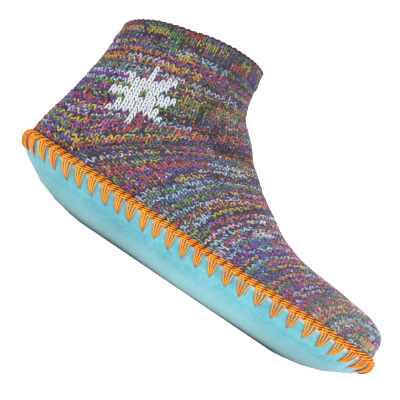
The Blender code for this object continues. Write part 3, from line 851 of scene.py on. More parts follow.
def yarn_runs():
    """Dye number of each stitch: short runs along a row, bright rows and dark rows in turn."""
    rng = random.Random(YARN_SEED)
    rows = []
    for course in range(RUN_ROWS):
        row = []
        in_collar = course < len(RIB_DYES)
        while len(row) < RUN_COLUMNS:
            wanted_dim = (course % 2 == 0) == (rng.random() < ROW_CONTRAST)
            run = draw_dye(rng)
            while (DYE_NAMES[run] in DIM) != wanted_dim:
                run = draw_dye(rng)
            if in_collar:
                at_back = len(row) - RUN_COLUMNS // 2 < RIB_CHANGE
                run = DYE_NAMES.index(rng.choice(RIB_DYES[course][1 if at_back else 0]))
            row += [run] * rng.randint(*(RIB_RUN_LENGTH if in_collar else RUN_LENGTH))
        rows.append(row[:RUN_COLUMNS])
    return np.array(rows)


def fading(grid, stitch, share):
    """How far a stitch's colours have gone to grey: at the front of the leg and over the toes."""
    if grid.closed:
        return 0.08 + 0.24 * float(ease((0.5 - abs(share)) / 0.3))
    return 0.14 + 0.20 * float(ease((stitch.top - SOFT_ROW + 6.0) / 12.0))


def leg_colours(grid, share_at, stitches, runs, first_course, star, white):
    """Colours of the two plies on each leg of each stitch; the fourth value marks undyed white."""
    rng = random.Random(YARN_SEED + first_course)
    in_collar = share_at is rib_share
    shades = [np.array(linear(dye.colour)) for dye in DYES]
    faded = np.array(linear(FADED if grid.closed else FELTED))
    rows = np.array([(stitch.top + stitch.bottom) / 2.0 for stitch in stitches])
    shares = share_at(grid, rows, np.array([stitch.wale for stitch in stitches]))
    depths = fold_at(grid, rows, np.clip(shares, -1.0, 1.0))
    found = []
    for number, stitch in enumerate(stitches):
        if star is not None and star[number]:
            found.append([[(*white, 1.0)] * 2] * 2)
            continue
        run = runs[first_course + stitch.course, int(stitch.wale + RUN_COLUMNS // 2)]
        calm = not grid.closed and stitch.top > SOFT_ROW
        if calm and DYE_NAMES[run] not in SOFT_DYES:
            run = DYE_NAMES.index(SOFT_DYES[(run * 5 + stitch.course) % len(SOFT_DYES)])
        calm = calm or in_collar
        fade = fading(grid, stitch, shares[number])
        # Painted shade: stitches deep in a fold get darker colours
        painted_fold_shade = 1.0 - FOLD_SHADE * float(ease((-FOLD_DEPTH - depths[number]) / (2.0 * FOLD_DEPTH)))
        same, same_or_dark = CALM_PLIES if calm else LIVELY_PLIES
        legs = []
        for _ in range(2):
            kept = rng.random() < (KEPT_RIB_RUN if in_collar else KEPT_RUN)
            one = run if kept else draw_dye(rng)
            chance = rng.random()
            other = draw_dye(rng)
            if chance < same:
                other = run
            elif chance < same_or_dark and run != DARK_DYE:
                other = DARK_DYE
            tone_and_shade = rng.uniform(*PLY_GLOW) * painted_fold_shade * (DIM_GLOW if DYE_NAMES[run] in DIM else 1.0)
            legs.append([(*((shades[dye] * (1.0 - fade) + faded * fade) * tone_and_shade), 0.0)
                         for dye in (one, other)])
        found.append(legs)
    return np.array(found)


# Materials

def add_node(tree, kind, settings=None, links=None):
    """Add a node, set its properties or inputs, and link sockets or nodes' first outputs to its inputs."""
    node = tree.nodes.new("ShaderNode" + kind)
    for name, value in (settings or {}).items():
        if isinstance(name, str) and hasattr(node, name):
            setattr(node, name, value)
        else:
            node.inputs[name].default_value = value
    for name, source in (links or {}).items():
        socket = source.outputs[0] if isinstance(source, bpy.types.Node) else source
        tree.links.new(socket, node.inputs[name])
    return node


def new_material(name, settings):
    """Empty node material with a Principled shader of the given values."""
    material = bpy.data.materials.new(name)
    material.use_nodes = True
    tree = material.node_tree
    shader = tree.nodes["Principled BSDF"]
    for socket, value in settings.items():
        shader.inputs[socket].default_value = value
    return material, tree, shader


def set_stops(ramp, *stops):
    """Give a colour ramp its stops, each a position and a linear colour."""
    elements = ramp.color_ramp.elements
    if len(stops) == 3:
        elements.new(0.5)
    for element, (position, colour) in zip(elements, stops):
        element.position = position
        element.color = (*colour, 1.0)


def twist_nodes(tree, turn_length):
    """Nodes that follow two plies round a strand: parts of its place, which ply is up, and how high."""
    strand = add_node(tree, "Attribute", {"attribute_name": "strand"})
    parts = add_node(tree, "SeparateXYZ", links={0: strand.outputs["Vector"]})
    turns = add_node(tree, "Math", {"operation": "MULTIPLY", 1: 2.0 * math.pi / turn_length},
                     {0: parts.outputs["X"]})
    sine = add_node(tree, "Math", {"operation": "SINE"}, {0: turns})
    cosine = add_node(tree, "Math", {"operation": "COSINE"}, {0: turns})
    first = add_node(tree, "Math", {"operation": "MULTIPLY"}, {0: sine, 1: parts.outputs["Y"]})
    ply = add_node(tree, "Math", {"operation": "MULTIPLY_ADD"},
                   {0: cosine, 1: parts.outputs["Z"], 2: first})
    return parts, ply, add_node(tree, "Math", {"operation": "ABSOLUTE"}, {0: ply})


def wool_material(twist):
    """Marled sock wool, spun from two plies and knitted by hand.

    The eye sees a dark ply winding round a bright one, a matt surface and a soft bloom of fibres.
    Shade is painted into the colour: dark in the groove between the plies, darker on the flanks of
    each leg, with a little painted highlight along its top.
    """
    material, tree, shader = new_material("marled_wool", {
        "Roughness": 0.92, "Sheen Weight": 0.10, "Sheen Roughness": 0.6, "Specular IOR Level": 0.2,
        "IOR": 1.54})
    parts, ply, rounds = twist_nodes(tree, twist)
    dye = add_node(tree, "Attribute", {"attribute_name": "dye"})
    mate = add_node(tree, "Attribute", {"attribute_name": "mate"})
    which = add_node(tree, "MapRange", {"From Min": -0.15, "From Max": 0.15}, {"Value": ply})
    plies = add_node(tree, "Mix", {"data_type": "RGBA"}, {0: which, 6: mate, 7: dye})
    # Painted shade: where the two plies meet, the colour goes to the dark grey below, less so on undyed white
    ply_groove_shade = add_node(tree, "MapRange", {"From Max": 0.45}, {"Value": rounds})
    undyed = add_node(tree, "Math", {"operation": "MULTIPLY", 1: 0.75}, {0: dye.outputs["Alpha"]})
    filled = add_node(tree, "Math", {"operation": "MAXIMUM"}, {0: ply_groove_shade, 1: undyed})
    blend = add_node(tree, "Mix", {"data_type": "RGBA", 6: (*linear("#26242a"), 1.0)},
                     {0: filled, 7: plies.outputs[2]})
    place = add_node(tree, "TexCoord")
    fibre = add_node(tree, "TexNoise", {"Scale": 1.0 / 0.0005, "Detail": 3.0, "Roughness": 0.6},
                     {"Vector": place.outputs["Object"]})
    tone = add_node(tree, "MapRange", {"To Min": 0.72, "To Max": 1.25}, {"Value": fibre})
    # Painted shade: each leg of a stitch darkens towards its flanks, with a little painted highlight along
    # its top
    flank = add_node(tree, "Math", {"operation": "ABSOLUTE"}, {0: parts.outputs["Y"]})
    depth = add_node(tree, "MapRange", {"From Min": 0.35, "From Max": 0.85, "To Min": 1.08, "To Max": 0.45},
                     {"Value": flank})
    tone_and_flank_shade = add_node(tree, "Math", {"operation": "MULTIPLY"}, {0: tone, 1: depth})
    shade = add_node(tree, "VectorMath", {"operation": "SCALE"}, {0: blend.outputs[2], "Scale": tone_and_flank_shade})
    relief = add_node(tree, "Math", {"operation": "MULTIPLY_ADD", 1: 0.5}, {0: fibre, 2: rounds})
    bump = add_node(tree, "Bump", {"Strength": 0.5, "Distance": 0.00025}, {"Height": relief})
    tree.links.new(shade.outputs[0], shader.inputs["Base Color"])
    tree.links.new(bump.outputs[0], shader.inputs["Normal"])
    return material


def ground_material():
    """The same wool where it lies deep between the stitches, and the purl side of the fabric inside.

    The eye sees dark gaps between stitches outside and low purl bumps in mixed colours inside; the
    mixed colours are darkened as painted shade, inside and out.
    """
    material, tree, shader = new_material("marled_wool_ground_painted_shade", {
        "Roughness": 0.95, "Sheen Weight": 0.2, "Specular IOR Level": 0.2, "IOR": 1.54})
    place = add_node(tree, "TexCoord")
    flecks = add_node(tree, "TexVoronoi", {"Scale": 1.0 / 0.0022}, {"Vector": place.outputs["Object"]})
    # Painted shade: the wool's mixed colours are brought down to a dark value
    painted_shade_tint = add_node(tree, "HueSaturation", {"Saturation": 0.55, "Value": 0.16},
                    {"Color": flecks.outputs["Color"]})
    bump = add_node(tree, "Bump", {"Strength": 0.6, "Distance": 0.0006, "invert": True},
                    {"Height": flecks.outputs["Distance"]})
    tree.links.new(painted_shade_tint.outputs[0], shader.inputs["Base Color"])
    tree.links.new(bump.outputs[0], shader.inputs["Normal"])
    return material


def suede_material(suede):
    """Cow suede, the split side of the hide buffed to a short nap and drum dyed turquoise.

    The eye sees a matt surface with soft cloudy patches where the nap lies over, faint streaks, a
    paler band near the floor, painted light that lifts the shade there, and a paler cut edge. A
    painted highlight lies on the puckers between the fans, and painted shade in the stitch holes.
    """
    material, tree, shader = new_material("turquoise_suede", {
        "Roughness": 0.95, "Sheen Weight": 0.5, "Sheen Roughness": 0.5, "Specular IOR Level": 0.2,
        "IOR": 1.5})
    place = add_node(tree, "TexCoord")
    cloud = add_node(tree, "TexNoise", {"Scale": 1.0 / 0.016, "Detail": 5.0, "Roughness": 0.62},
                     {"Vector": place.outputs["Object"]})
    nap = add_node(tree, "TexNoise", {"Scale": 1.0 / 0.0024, "Detail": 5.0, "Roughness": 0.75},
                   {"Vector": place.outputs["Object"]})
    stretch = add_node(tree, "Mapping", {"Scale": (12.0, 60.0, 260.0)}, {"Vector": place.outputs["Object"]})
    streak = add_node(tree, "TexNoise", {"Scale": 1.0, "Detail": 3.0, "Roughness": 0.55}, {"Vector": stretch})
    tone = add_node(tree, "Mix", {"data_type": "FLOAT", 0: 0.35}, {2: cloud, 3: streak})
    fine = add_node(tree, "Mix", {"data_type": "FLOAT", 0: 0.45}, {2: tone, 3: nap})
    ramp = add_node(tree, "ValToRGB", links={0: fine})
    set_stops(ramp, (0.36, suede.dark), (0.5, suede.middle), (0.64, suede.light))
    # X: the real pale cut edge and a painted highlight on the puckers; Y: painted shade in the stitch holes
    cut_edge_and_painted_marks = add_node(tree, "Attribute", {"attribute_name": "cut"})
    marks = add_node(tree, "SeparateXYZ", links={0: cut_edge_and_painted_marks.outputs["Vector"]})
    level = add_node(tree, "SeparateXYZ", links={0: place.outputs["Object"]})
    colour = ramp.outputs[0]
    # Painted light: the suede grows paler towards the floor, lifting the shade on its lower band
    low = add_node(tree, "MapRange", {"From Min": 0.012, "From Max": 0.002, "To Max": 0.8},
                   {"Value": level.outputs["Z"]})
    for amount, shade in ((low.outputs[0], suede.painted_low_light), (marks.outputs["X"], suede.cut),
                          (marks.outputs["Y"], suede.hole)):
        mixed = add_node(tree, "Mix", {"data_type": "RGBA", 7: (*shade, 1.0)}, {0: amount, 6: colour})
        colour = mixed.outputs[2]
    bump = add_node(tree, "Bump", {"Strength": 0.35, "Distance": 0.0004}, {"Height": nap})
    tree.links.new(colour, shader.inputs["Base Color"])
    tree.links.new(bump.outputs[0], shader.inputs["Normal"])
    return material


def thread_material(name, bright, mean, dark):
    """Mercerised cotton crochet thread, two plies loosely twisted and dyed orange in the skein.

    The eye sees a slanting twist on each strand, with a painted highlight along the top of each strand
    and painted shade on its flanks, underneath and in the hollows.
    """
    material, tree, shader = new_material(name, {
        "Roughness": 0.8, "Sheen Weight": 0.08, "Sheen Roughness": 0.5, "Specular IOR Level": 0.2,
        "IOR": 1.54})
    rounds = twist_nodes(tree, 0.0024)[2]
    place = add_node(tree, "TexCoord")
    fibre = add_node(tree, "TexNoise", {"Scale": 1.0 / 0.0007, "Detail": 3.0, "Roughness": 0.6},
                     {"Vector": place.outputs["Object"]})
    dye = add_node(tree, "TexNoise", {"Scale": 1.0 / 0.009, "Detail": 1.0},
                   {"Vector": place.outputs["Object"]})
    # Painted light: the crown mask gives the top of each strand the bright colour and its flanks, underside
    # and ends the dark one
    crown = add_node(tree, "Attribute", {"attribute_name": "crown"})
    level = add_node(tree, "Math", {"operation": "MULTIPLY_ADD", 1: 0.5}, {0: fibre, 2: crown.outputs["Fac"]})
    mixed = add_node(tree, "Math", {"operation": "MULTIPLY_ADD", 1: 0.5}, {0: dye, 2: level})
    ramp = add_node(tree, "ValToRGB", links={0: mixed})
    set_stops(ramp, (0.45, dark), (0.75, mean), (1.0, bright))
    relief = add_node(tree, "Math", {"operation": "MULTIPLY_ADD", 1: 0.4}, {0: fibre, 2: rounds})
    bump = add_node(tree, "Bump", {"Strength": 0.6, "Distance": 0.0003}, {"Height": relief})
    tree.links.new(ramp.outputs[0], shader.inputs["Base Color"])
    tree.links.new(bump.outputs[0], shader.inputs["Normal"])
    return material


def felt_material(felt):
    """Pressed wool felt, cut from a grey sheet. The eye sees matt mottled grey with fine fibres."""
    material, tree, shader = new_material("grey_wool_felt", {
        "Roughness": 1.0, "Sheen Weight": 0.4, "Specular IOR Level": 0.15, "IOR": 1.5})
    place = add_node(tree, "TexCoord")
    blot = add_node(tree, "TexNoise", {"Scale": 1.0 / 0.004, "Detail": 6.0, "Roughness": 0.7},
                    {"Vector": place.outputs["Object"]})
    ramp = add_node(tree, "ValToRGB", links={0: blot})
    set_stops(ramp, (0.3, felt.dark), (0.7, felt.light))
    fibre = add_node(tree, "TexNoise", {"Scale": 1.0 / 0.0006, "Detail": 4.0},
                     {"Vector": place.outputs["Object"]})
    bump = add_node(tree, "Bump", {"Strength": 0.5, "Distance": 0.0004}, {"Height": fibre})
    tree.links.new(ramp.outputs[0], shader.inputs["Base Color"])
    tree.links.new(bump.outputs[0], shader.inputs["Normal"])
    return material


def paper_material():
    """Matt white backdrop paper on a roll. The eye sees an even pale ground."""
    return new_material("backdrop_paper", {
        "Base Color": (0.93, 0.93, 0.93, 1.0), "Roughness": 1.0, "Specular IOR Level": 0.0})[0]


def place_piece(thing, node_name, material):
    """Give a piece its material, hang it on the frame's root and hide the frame's part that it stands for."""
    thing.data.materials.append(material)
    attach(thing, "root")
    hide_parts(node_name)


# Knit wall

def wall_rings(grids):
    """Points of the knit's wall: closed rings of the leg, and strips over the foot."""
    leg, foot = grids
    corner = [foot.reach[0, side] / leg.reach[-1, side] for side in (0, 1)]
    front = np.linspace(0.0, 1.0, TOP_COLUMNS + 1)
    heel = np.linspace(0.0, 1.0, HEEL_COLUMNS + 1)
    outer = np.concatenate([front * corner[0], corner[0] + (1.0 - corner[0]) * heel[1:]])
    inner = np.concatenate([front * corner[1], corner[1] + (1.0 - corner[1]) * heel[1:]])
    shares = np.concatenate([-outer[:0:-1], inner[:-1]])
    rows = np.linspace(0.0, TURN_ROW, 29)
    row_grid, share_grid = np.meshgrid(rows, shares, indexing="ij")
    leg_points = on_grid(leg, row_grid, share_grid, row_grid * 0.0)
    foot_shares = np.concatenate([-front[:0:-1], front])
    foot_rows = np.linspace(TURN_ROW, LAST_ROW, 57)[1:]
    row_grid, share_grid = np.meshgrid(foot_rows, foot_shares, indexing="ij")
    return rows, leg_points, on_grid(foot, row_grid, share_grid, row_grid * 0.0)


def cuff_row(grid):
    """Row of the form at which the ribbed band ends."""
    depth = np.linalg.norm(grid.points - grid.points[0], axis=2).mean(axis=1)
    return float(np.interp(CUFF_HEIGHT, depth, grid.rows))


EDGE_TABLE = {}           # border points of each side, worked out once


def nearest_turn(point, side):
    """Outline parameter of the border point nearest to a place measured from the heel tip."""
    if side not in EDGE_TABLE:
        turns = np.linspace(0.0, 1.0, 801)
        EDGE_TABLE[side] = (turns, np.array([border_point(turn, side) for turn in turns]))
    turns, points = EDGE_TABLE[side]
    return float(turns[np.argmin(np.linalg.norm(points - point, axis=1))])


def tuck_point(point, drop):
    """Point straight below the border of the knit, drawn in where the suede leans in."""
    here = np.array(point) + MIDDLE
    side = OUTER if here[1] < TOE_SHIFT * (here[0] / SOLE_LENGTH) ** 2 else INNER
    turn = nearest_turn(here, side)
    return Vector(wall(turn, side, climb_at(turn, side, drop), -(SOLE_WALL + GAP)) - MIDDLE)


def build_knit_wall(grids, sink):
    """Hollow wall under the stitches, open at the collar and underneath, tucked inside the suede."""
    rows, leg_points, foot_points = wall_rings(grids)
    band_end = cuff_row(grids[0])
    form = bmesh.new()

    def add(points):
        return [form.verts.new(point) for point in points]

    def join(ring_a, ring_b, count):
        for i in range(count):
            j = (i + 1) % len(ring_a)
            form.faces.new((ring_a[i], ring_a[j], ring_b[j], ring_b[i]))
    loops = [add(ring) for ring in leg_points]
    count = len(loops[0])
    for loop_a, loop_b in zip(loops, loops[1:]):
        join(loop_a, loop_b, count)
    foot_end = HEEL_COLUMNS + 2 * TOP_COLUMNS
    strips = [loops[-1][HEEL_COLUMNS:foot_end + 1]] + [add(points) for points in foot_points]
    for strip_a, strip_b in zip(strips, strips[1:]):
        join(strip_a, strip_b, 2 * TOP_COLUMNS)
    border = (loops[-1][foot_end:] + loops[-1][:HEEL_COLUMNS + 1] + [one[0] for one in strips[1:-1]]
              + strips[-1] + [one[-1] for one in strips[1:-1]][::-1])
    previous = border
    for drop in (0.0, TUCK_DEPTH / 2.0, TUCK_DEPTH):
        lower = add([tuck_point(vert.co, drop) for vert in border])
        join(previous, lower, len(border))
        previous = lower
    bmesh.ops.recalc_face_normals(form, faces=form.faces)
    if loops[0][count // 2].link_faces[0].normal.x < 0.0:
        bmesh.ops.reverse_faces(form, faces=form.faces)
    form.normal_update()
    in_band = {vert for row, loop in zip(rows, loops) if row <= band_end for vert in loop}
    moves = [(vert, vert.normal * ((CUFF_STEP if vert in in_band else 0.0) - sink)) for vert in form.verts]
    for vert, move in moves:
        vert.co += move
    mesh = bpy.data.meshes.new("knit_wall")
    form.to_mesh(mesh)
    form.free()
    thing = link_object("knit_wall", mesh)
    shell = thing.modifiers.new("wall", "SOLIDIFY")
    shell.thickness = KNIT_WALL - sink
    shell.offset = -1.0
    return thing


# Edging

PITCH_CHANGE = (0.35, 0.35)   # share of the length where the fans begin to widen, and over how much
FAN_LEAN = 0.0026         # how far the fans lean to the toe, and to the heel past the toes
FAN_STEPS = 10            # pieces of a strand
FAN_TIP_WIDTH = 0.0009    # width of a fan where its strands meet
FAN_BOW = 0.0007          # how far the strands bow along the edge
FAN_START = 0.0006        # height over the suede's edge at which they begin
FAN_OUT = 0.0011          # how far off the suede's face they begin
FAN_ARCH = 0.0006         # how far they bulge from there
FAN_DIP = 0.0019          # how far their tips go down into the hole
FAN_HAND = 0.0003         # how far the start of a strand strays
TIP_HAND = 0.0006         # how far the tip of a fan strays
STRAND_HAND = 0.00006     # how far a strand wavers
LINK_HAND = 0.00008       # how far a link of the braid wavers
FAN_SEED = 3
EDGING_SEED = 7
TONES = (0.7, 1.05)       # how much strands differ in brightness
BRAID_LINKS_PER_FAN = 2
# Lines of the braid: height over the suede's edge, slant of each strand and depth
BRAID_LINES = ((0.0027, 0.0013, -0.0010), (0.0014, 0.0013, 0.0006), (0.0001, 0.0013, 0.0012))
BRAID_LAG = 800.0         # how far along a strand starts for its height
BRAID_STEPS = 8           # pieces of a link
BRAID_OVERLAP = 0.1       # share of its length by which a link goes under each neighbour
BRAID_ARCH = 0.0005       # how far its middle bulges
BRAID_BED = 0.0002        # how far its ends are drawn in
CORE_RINGS = 480
CORE_SIDES = 10
CORE_CENTRE = (0.0010, -0.0002)   # height and depth of the inner strand at the suede's edge
CORE_HALF = (0.0013, 0.0009)      # half its height and half its depth


class EdgeWay:
    """The suede's edge as one way round: outer side from heel to toe, inner side back."""

    def __init__(self):
        fine = 600
        outer = [(step / fine, OUTER) for step in range(fine + 1)]
        inner = [(1.0 - step / fine, INNER) for step in range(1, fine + 1)]
        self.places = outer + inner
        points = np.array([edge_point(*place) for place in self.places])
        self.way = way_along(points)
        self.length = self.way[-1]

    def place(self, at):
        """Outline parameter and side at a distance along the edge."""
        at = at % self.length
        index = min(int(np.searchsorted(self.way, at, side="right")) - 1, len(self.places) - 2)
        share = (at - self.way[index]) / (self.way[index + 1] - self.way[index])
        turn = self.places[index][0] + (self.places[index + 1][0] - self.places[index][0]) * share
        return turn, self.places[index + 1][1]

    def point(self, at, up, out):
        """Point of the edging: above the edge it stands straight, below it follows the suede."""
        turn, side = self.place(at)
        if up >= 0.0:
            over = edge_point(turn, side)
            level = edge_point(turn, side, 1.0) - over
            found = over + level * out + np.array([0.0, 0.0, up])
        else:
            found = wall(turn, side, climb_at(turn, side, -up), out)
        return found - MIDDLE

    def even_places(self, count):
        """Places at equal distances all the way round."""
        return [self.place(self.length * index / count) for index in range(count)]


def toe_widening(station_share):
    """How far the fans have widened from the heel's size to the toe's."""
    return ease((station_share - PITCH_CHANGE[0]) / PITCH_CHANGE[1])


def fan_ways(edge, edging):
    """Distances along the edge at which the fans of stitches have their tops."""
    fine = np.linspace(0.0, edge.length, 2001)
    station = np.array([station_of(edge.place(at)[0]) for at in fine[:-1]] + [0.0]) / SOLE_LENGTH
    pitch = edging.heel_pitch + (edging.toe_pitch - edging.heel_pitch) * toe_widening(station)
    count = np.concatenate([[0.0], np.cumsum(np.diff(fine) / ((pitch[1:] + pitch[:-1]) / 2.0))])
    total = round(count[-1])
    return np.interp(np.arange(total) + 0.5, count * total / count[-1], fine), total


def fan_lean(edge, at):
    """How far a fan's tip is shifted along the edge from the middle of its top."""
    turn, side = edge.place(at)
    share = station_of(turn) / SOLE_LENGTH
    towards_toe = FAN_LEAN - 2.0 * FAN_LEAN * ease((share - 0.78) / 0.2)
    return towards_toe if side == OUTER else -towards_toe


def fan_tips(edge, edging):
    """Distances along the edge of each fan's top and tip, and its drop, with a little of the hand in it."""
    rng = random.Random(FAN_SEED)
    found = []
    for at in fan_ways(edge, edging)[0]:
        drop = FAN_DROP * rng.uniform(0.90, 1.0)
        found.append((at, at + fan_lean(edge, at) + rng.uniform(-TIP_HAND, TIP_HAND), drop))
    return found


def build_edging(edging):
    """Crocheted braid along the edge of the suede, with fans of strands that meet in holes."""
    edge = EdgeWay()
    rng = random.Random(EDGING_SEED)
    tubes = []
    for top_at, tip_at, drop in fan_tips(edge, edging):
        wider = toe_widening(station_of(edge.place(top_at)[0]) / SOLE_LENGTH)
        width = (edging.fan_width + edging.toe_extra * wider) * rng.uniform(0.92, 1.08)
        for strand in range(edging.strands):
            spread = strand / (edging.strands - 1) - 0.5
            start = top_at + width * spread + rng.uniform(-FAN_HAND, FAN_HAND)
            line, radii, outs, tone_and_shade = [], [], [], []
            tone = rng.uniform(*TONES)
            for share in np.arange(FAN_STEPS + 1) / FAN_STEPS:
                arch = math.sin(math.pi * share)
                bow = FAN_BOW * (spread - 0.2) * arch
                at = start + (tip_at + spread * FAN_TIP_WIDTH - start) * share ** 0.92 + bow
                up = FAN_START + (-drop - FAN_START) * share
                out = FAN_OUT + FAN_ARCH * arch - FAN_DIP * share ** 5
                line.append(edge.point(at, up, out + rng.uniform(-STRAND_HAND, STRAND_HAND)))
                radii.append(edging.thread * (1.0 - 0.25 * share ** 3))
                outs.append(edge.point(at, up, out + 0.001) - line[-1])
                # Painted shade: a strand darkens towards its tip, where it goes into the hole
                tone_and_shade.append(tone * (1.0 - 0.8 * share ** 4))
            tubes.append(tube(line, radii, outs, tone_and_shade))
    ways, total = fan_ways(edge, edging)
    links = total * BRAID_LINKS_PER_FAN
    link_ways = np.interp(np.arange(links + 1) / BRAID_LINKS_PER_FAN,
                          np.concatenate([[-0.5], np.arange(total), [total - 0.5]]) + 0.5,
                          np.concatenate([[0.0], ways, [edge.length]]))
    for start, end in zip(link_ways, link_ways[1:]):
        for middle_up, slant, depth in BRAID_LINES:
            line, radii, outs, tone_and_shade = [], [], [], []
            tone = rng.uniform(*TONES)
            for share in np.arange(BRAID_STEPS + 1) / BRAID_STEPS:
                arch = math.sin(math.pi * share)
                along = -BRAID_OVERLAP + (1.0 + 2.0 * BRAID_OVERLAP) * share
                at = start + (end - start) * (along + BRAID_LAG * middle_up)
                up = middle_up + slant * (share - 0.5)
                out = depth + BRAID_ARCH * arch - BRAID_BED
                line.append(edge.point(at, up + rng.uniform(-LINK_HAND, LINK_HAND), out))
                radii.append(edging.braid_thread * (0.45 + 0.55 * arch))
                outs.append(edge.point(at, up, out + 0.001) - line[-1])
                # Painted shade: each link darkens towards its ends, where it goes under its neighbours
                tone_and_shade.append(tone * max(arch, 0.0) ** 0.7)
            tubes.append(tube(line, radii, outs, tone_and_shade))
    return join_tubes("crochet_edging", tubes)


def build_edging_core():
    """Dense inner strand that the braid is worked over, seen only in its gaps, where its dark colours are
    painted shade.
    """
    edge = EdgeWay()
    points, places = [], []
    for index in range(CORE_RINGS):
        at = edge.length * index / CORE_RINGS
        for corner in range(CORE_SIDES):
            angle = 2.0 * math.pi * corner / CORE_SIDES
            points.append(edge.point(at, CORE_CENTRE[0] + CORE_HALF[0] * math.sin(angle),
                                     CORE_CENTRE[1] + CORE_HALF[1] * math.cos(angle)))
            places.append((at, math.cos(angle), math.sin(angle)))
    faces = [tuple(i % len(points) for i in face) for face in ring_faces(CORE_RINGS + 1, CORE_SIDES)]
    thing = mesh_object("edging_core", np.array(points), faces)
    give(thing, "strand", "FLOAT_VECTOR", places)
    give(thing, "crown", "FLOAT", [0.0] * len(points))
    return thing


# Sole and insole

SOLE_COLUMNS = 900
INSOLE_COLUMNS = 240
SOLE_DROPS = (0.0, 0.0004, 0.0009, 0.0015, *(0.0022 + 0.00075 * step for step in range(13)))
PUCKER_WIDTH = 0.0024     # from a fan's tip to where the suede swells
PUCKER_FADE = 0.009       # how far down the puckers reach
PUCKER_HEIGHT = 0.0004
HOLE_DEPTH = 0.0006
HOLE_WIDTH = 0.00075
INWARD = (0.8, 0.5, 0.2, 0.03)    # rings of the flat tread, as shares of the way out from its spine
BLANK = (0.0, 0.0, 0.0)


def tread_rings(places, level):
    """Rings of points inside the rim of the flat tread, from wide to narrow, at one height."""
    rings = []
    for inward in INWARD:
        ring = []
        for turn, side in places:
            spine, rim, width = turn_frame(turn, side)[:3]
            ring.append((*(spine + (rim - spine) * (1.0 - width) * inward), level))
        rings.append(np.array(ring))
    return rings


def build_sole(edging):
    """Suede tray with soft puckers between the fans, small holes at their tips and a pale cut edge."""
    edge = EdgeWay()
    tips = np.array(fan_tips(edge, edging))
    places = edge.even_places(SOLE_COLUMNS)
    ways = edge.length * np.arange(SOLE_COLUMNS) / SOLE_COLUMNS
    half = edge.length / 2.0

    def pucker(at, drop):
        apart = np.abs((tips[:, 1] - at + half) % edge.length - half)
        index = int(np.argmin(apart))
        near = apart[index]
        between = 1.0 - math.exp(-(near / PUCKER_WIDTH) ** 2)
        fade = math.exp(-(drop / PUCKER_FADE) ** 2)
        hole = math.exp(-((near ** 2 + (drop - tips[index, 2]) ** 2) / HOLE_WIDTH ** 2))
        return PUCKER_HEIGHT * between * fade - HOLE_DEPTH * hole, hole, between
    outer, marks = [], []
    for drop in SOLE_DROPS:
        row, mark = [], []
        soft = 1.0 if drop > 0.0005 else 0.5
        for at, (turn, side) in zip(ways, places):
            out, hole, between = pucker(at, drop)
            row.append(wall(turn, side, climb_at(turn, side, drop), out * soft))
            # The real pale cut edge at the very top, and its colour spread onto the swelling between fans as
            # a painted highlight
            pale = 0.9 * between * math.exp(-((drop - 0.0012) / 0.0010) ** 2)
            # The hole mask also carries painted shade into the suede's colour
            mark.append((min(pale + (1.0 if drop < 0.0003 else 0.0), 1.0), hole, 0.0))
        outer.append(row)
        marks.append(mark)
    for share in (0.30, 0.55, 0.80):
        outer.append([wall(*place, climb_at(*place, SOLE_DROPS[-1]) * (1.0 - share)) for place in places])
    outer.append([raw_wall(*place, 0.0) for place in places])
    outer += tread_rings(places, 0.0)
    inner = [[wall(*place, climb_at(*place, drop), -SOLE_WALL) for place in places]
             for drop in (0.0, 0.004, 0.009, 0.015)]
    inner += [[wall(*place, climb, -SOLE_WALL) for place in places] for climb in (0.45, 0.2, 0.0)]
    inner.append([np.array([point[0], point[1], SOLE_WALL]) for point in outer[-1]])
    marks = [[BLANK] * SOLE_COLUMNS] * (len(inner) - 1) + [[(1.0, 0.0, 0.0)] * SOLE_COLUMNS] + marks
    rings = inner[::-1] + outer
    marks += [[BLANK] * SOLE_COLUMNS] * (len(rings) - len(marks))
    thing = lofted("suede_sole", rings)
    give(thing, "cut", "FLOAT_VECTOR", np.array(marks).reshape(-1, 3))
    return thing


def build_insole():
    """Felt insole with a soft round rim on the suede's tread."""
    places = EdgeWay().even_places(INSOLE_COLUMNS)
    low = SOLE_WALL + FELT_GAP
    high = low + INSOLE_THICKNESS
    rings = []
    for climb, depth in ((0.0, low), (0.5, low), (1.0, low), (1.01, low + INSOLE_THICKNESS * 0.5),
                         (0.97, low + INSOLE_THICKNESS * 0.9), (0.85, high), (0.4, high), (0.0, high)):
        rings.append([wall(*place, INSOLE_CLIMB * climb, -depth) for place in places])
    return lofted("felt_insole", rings + tread_rings(places, high))


# Settings that a user would change

def length_property(name, description, default, low, high):
    """Size in metres."""
    return FloatProperty(name=name, description=description, default=default, min=low, max=high,
                         unit="LENGTH")


def colour_property(name, description, hex_colour):
    """Colour with an sRGB default."""
    return FloatVectorProperty(name=name, description=description, default=linear(hex_colour), size=3,
                               min=0.0, max=1.0, subtype="COLOR")


class KnitSettings(bpy.types.PropertyGroup):
    """Sizes of the knitting and the colour of its star."""
    course: length_property("Course", "Height of one stitch", 0.00215, 0.0015, 0.01)
    rib_course: length_property("Rib course", "Height of one stitch of the collar", 0.0036, 0.0015, 0.01)
    twist: length_property("Twist", "Length of one turn of the two plies", 0.0026, 0.001, 0.02)
    sink: length_property("Sink", "Depth of the ground behind the stitches", 0.0006, 0.0, 0.0015)
    star: colour_property("Star", "Undyed wool of the star", "#e2e7ee")


class SuedeSettings(bpy.types.PropertyGroup):
    """Colours of the suede."""
    middle: colour_property("Suede", "Main colour of the nap", "#70bcc9")
    light: colour_property("Light", "Nap brushed towards the eye", "#8dced8")
    dark: colour_property("Dark", "Nap brushed away from the eye", "#56a9ba")
    # Painted light: colour of the paler band near the floor
    painted_low_light: colour_property("Painted_light_band", "Band near the floor", "#b6e2e4")
    # Also used for the painted highlight on the puckers between fans
    cut: colour_property("Cut edge", "Bare edge of the hide", "#e2eeee")
    # Painted shade inside the stitch holes
    hole: colour_property("Holes", "Inside of the stitch holes", "#3d6f78")


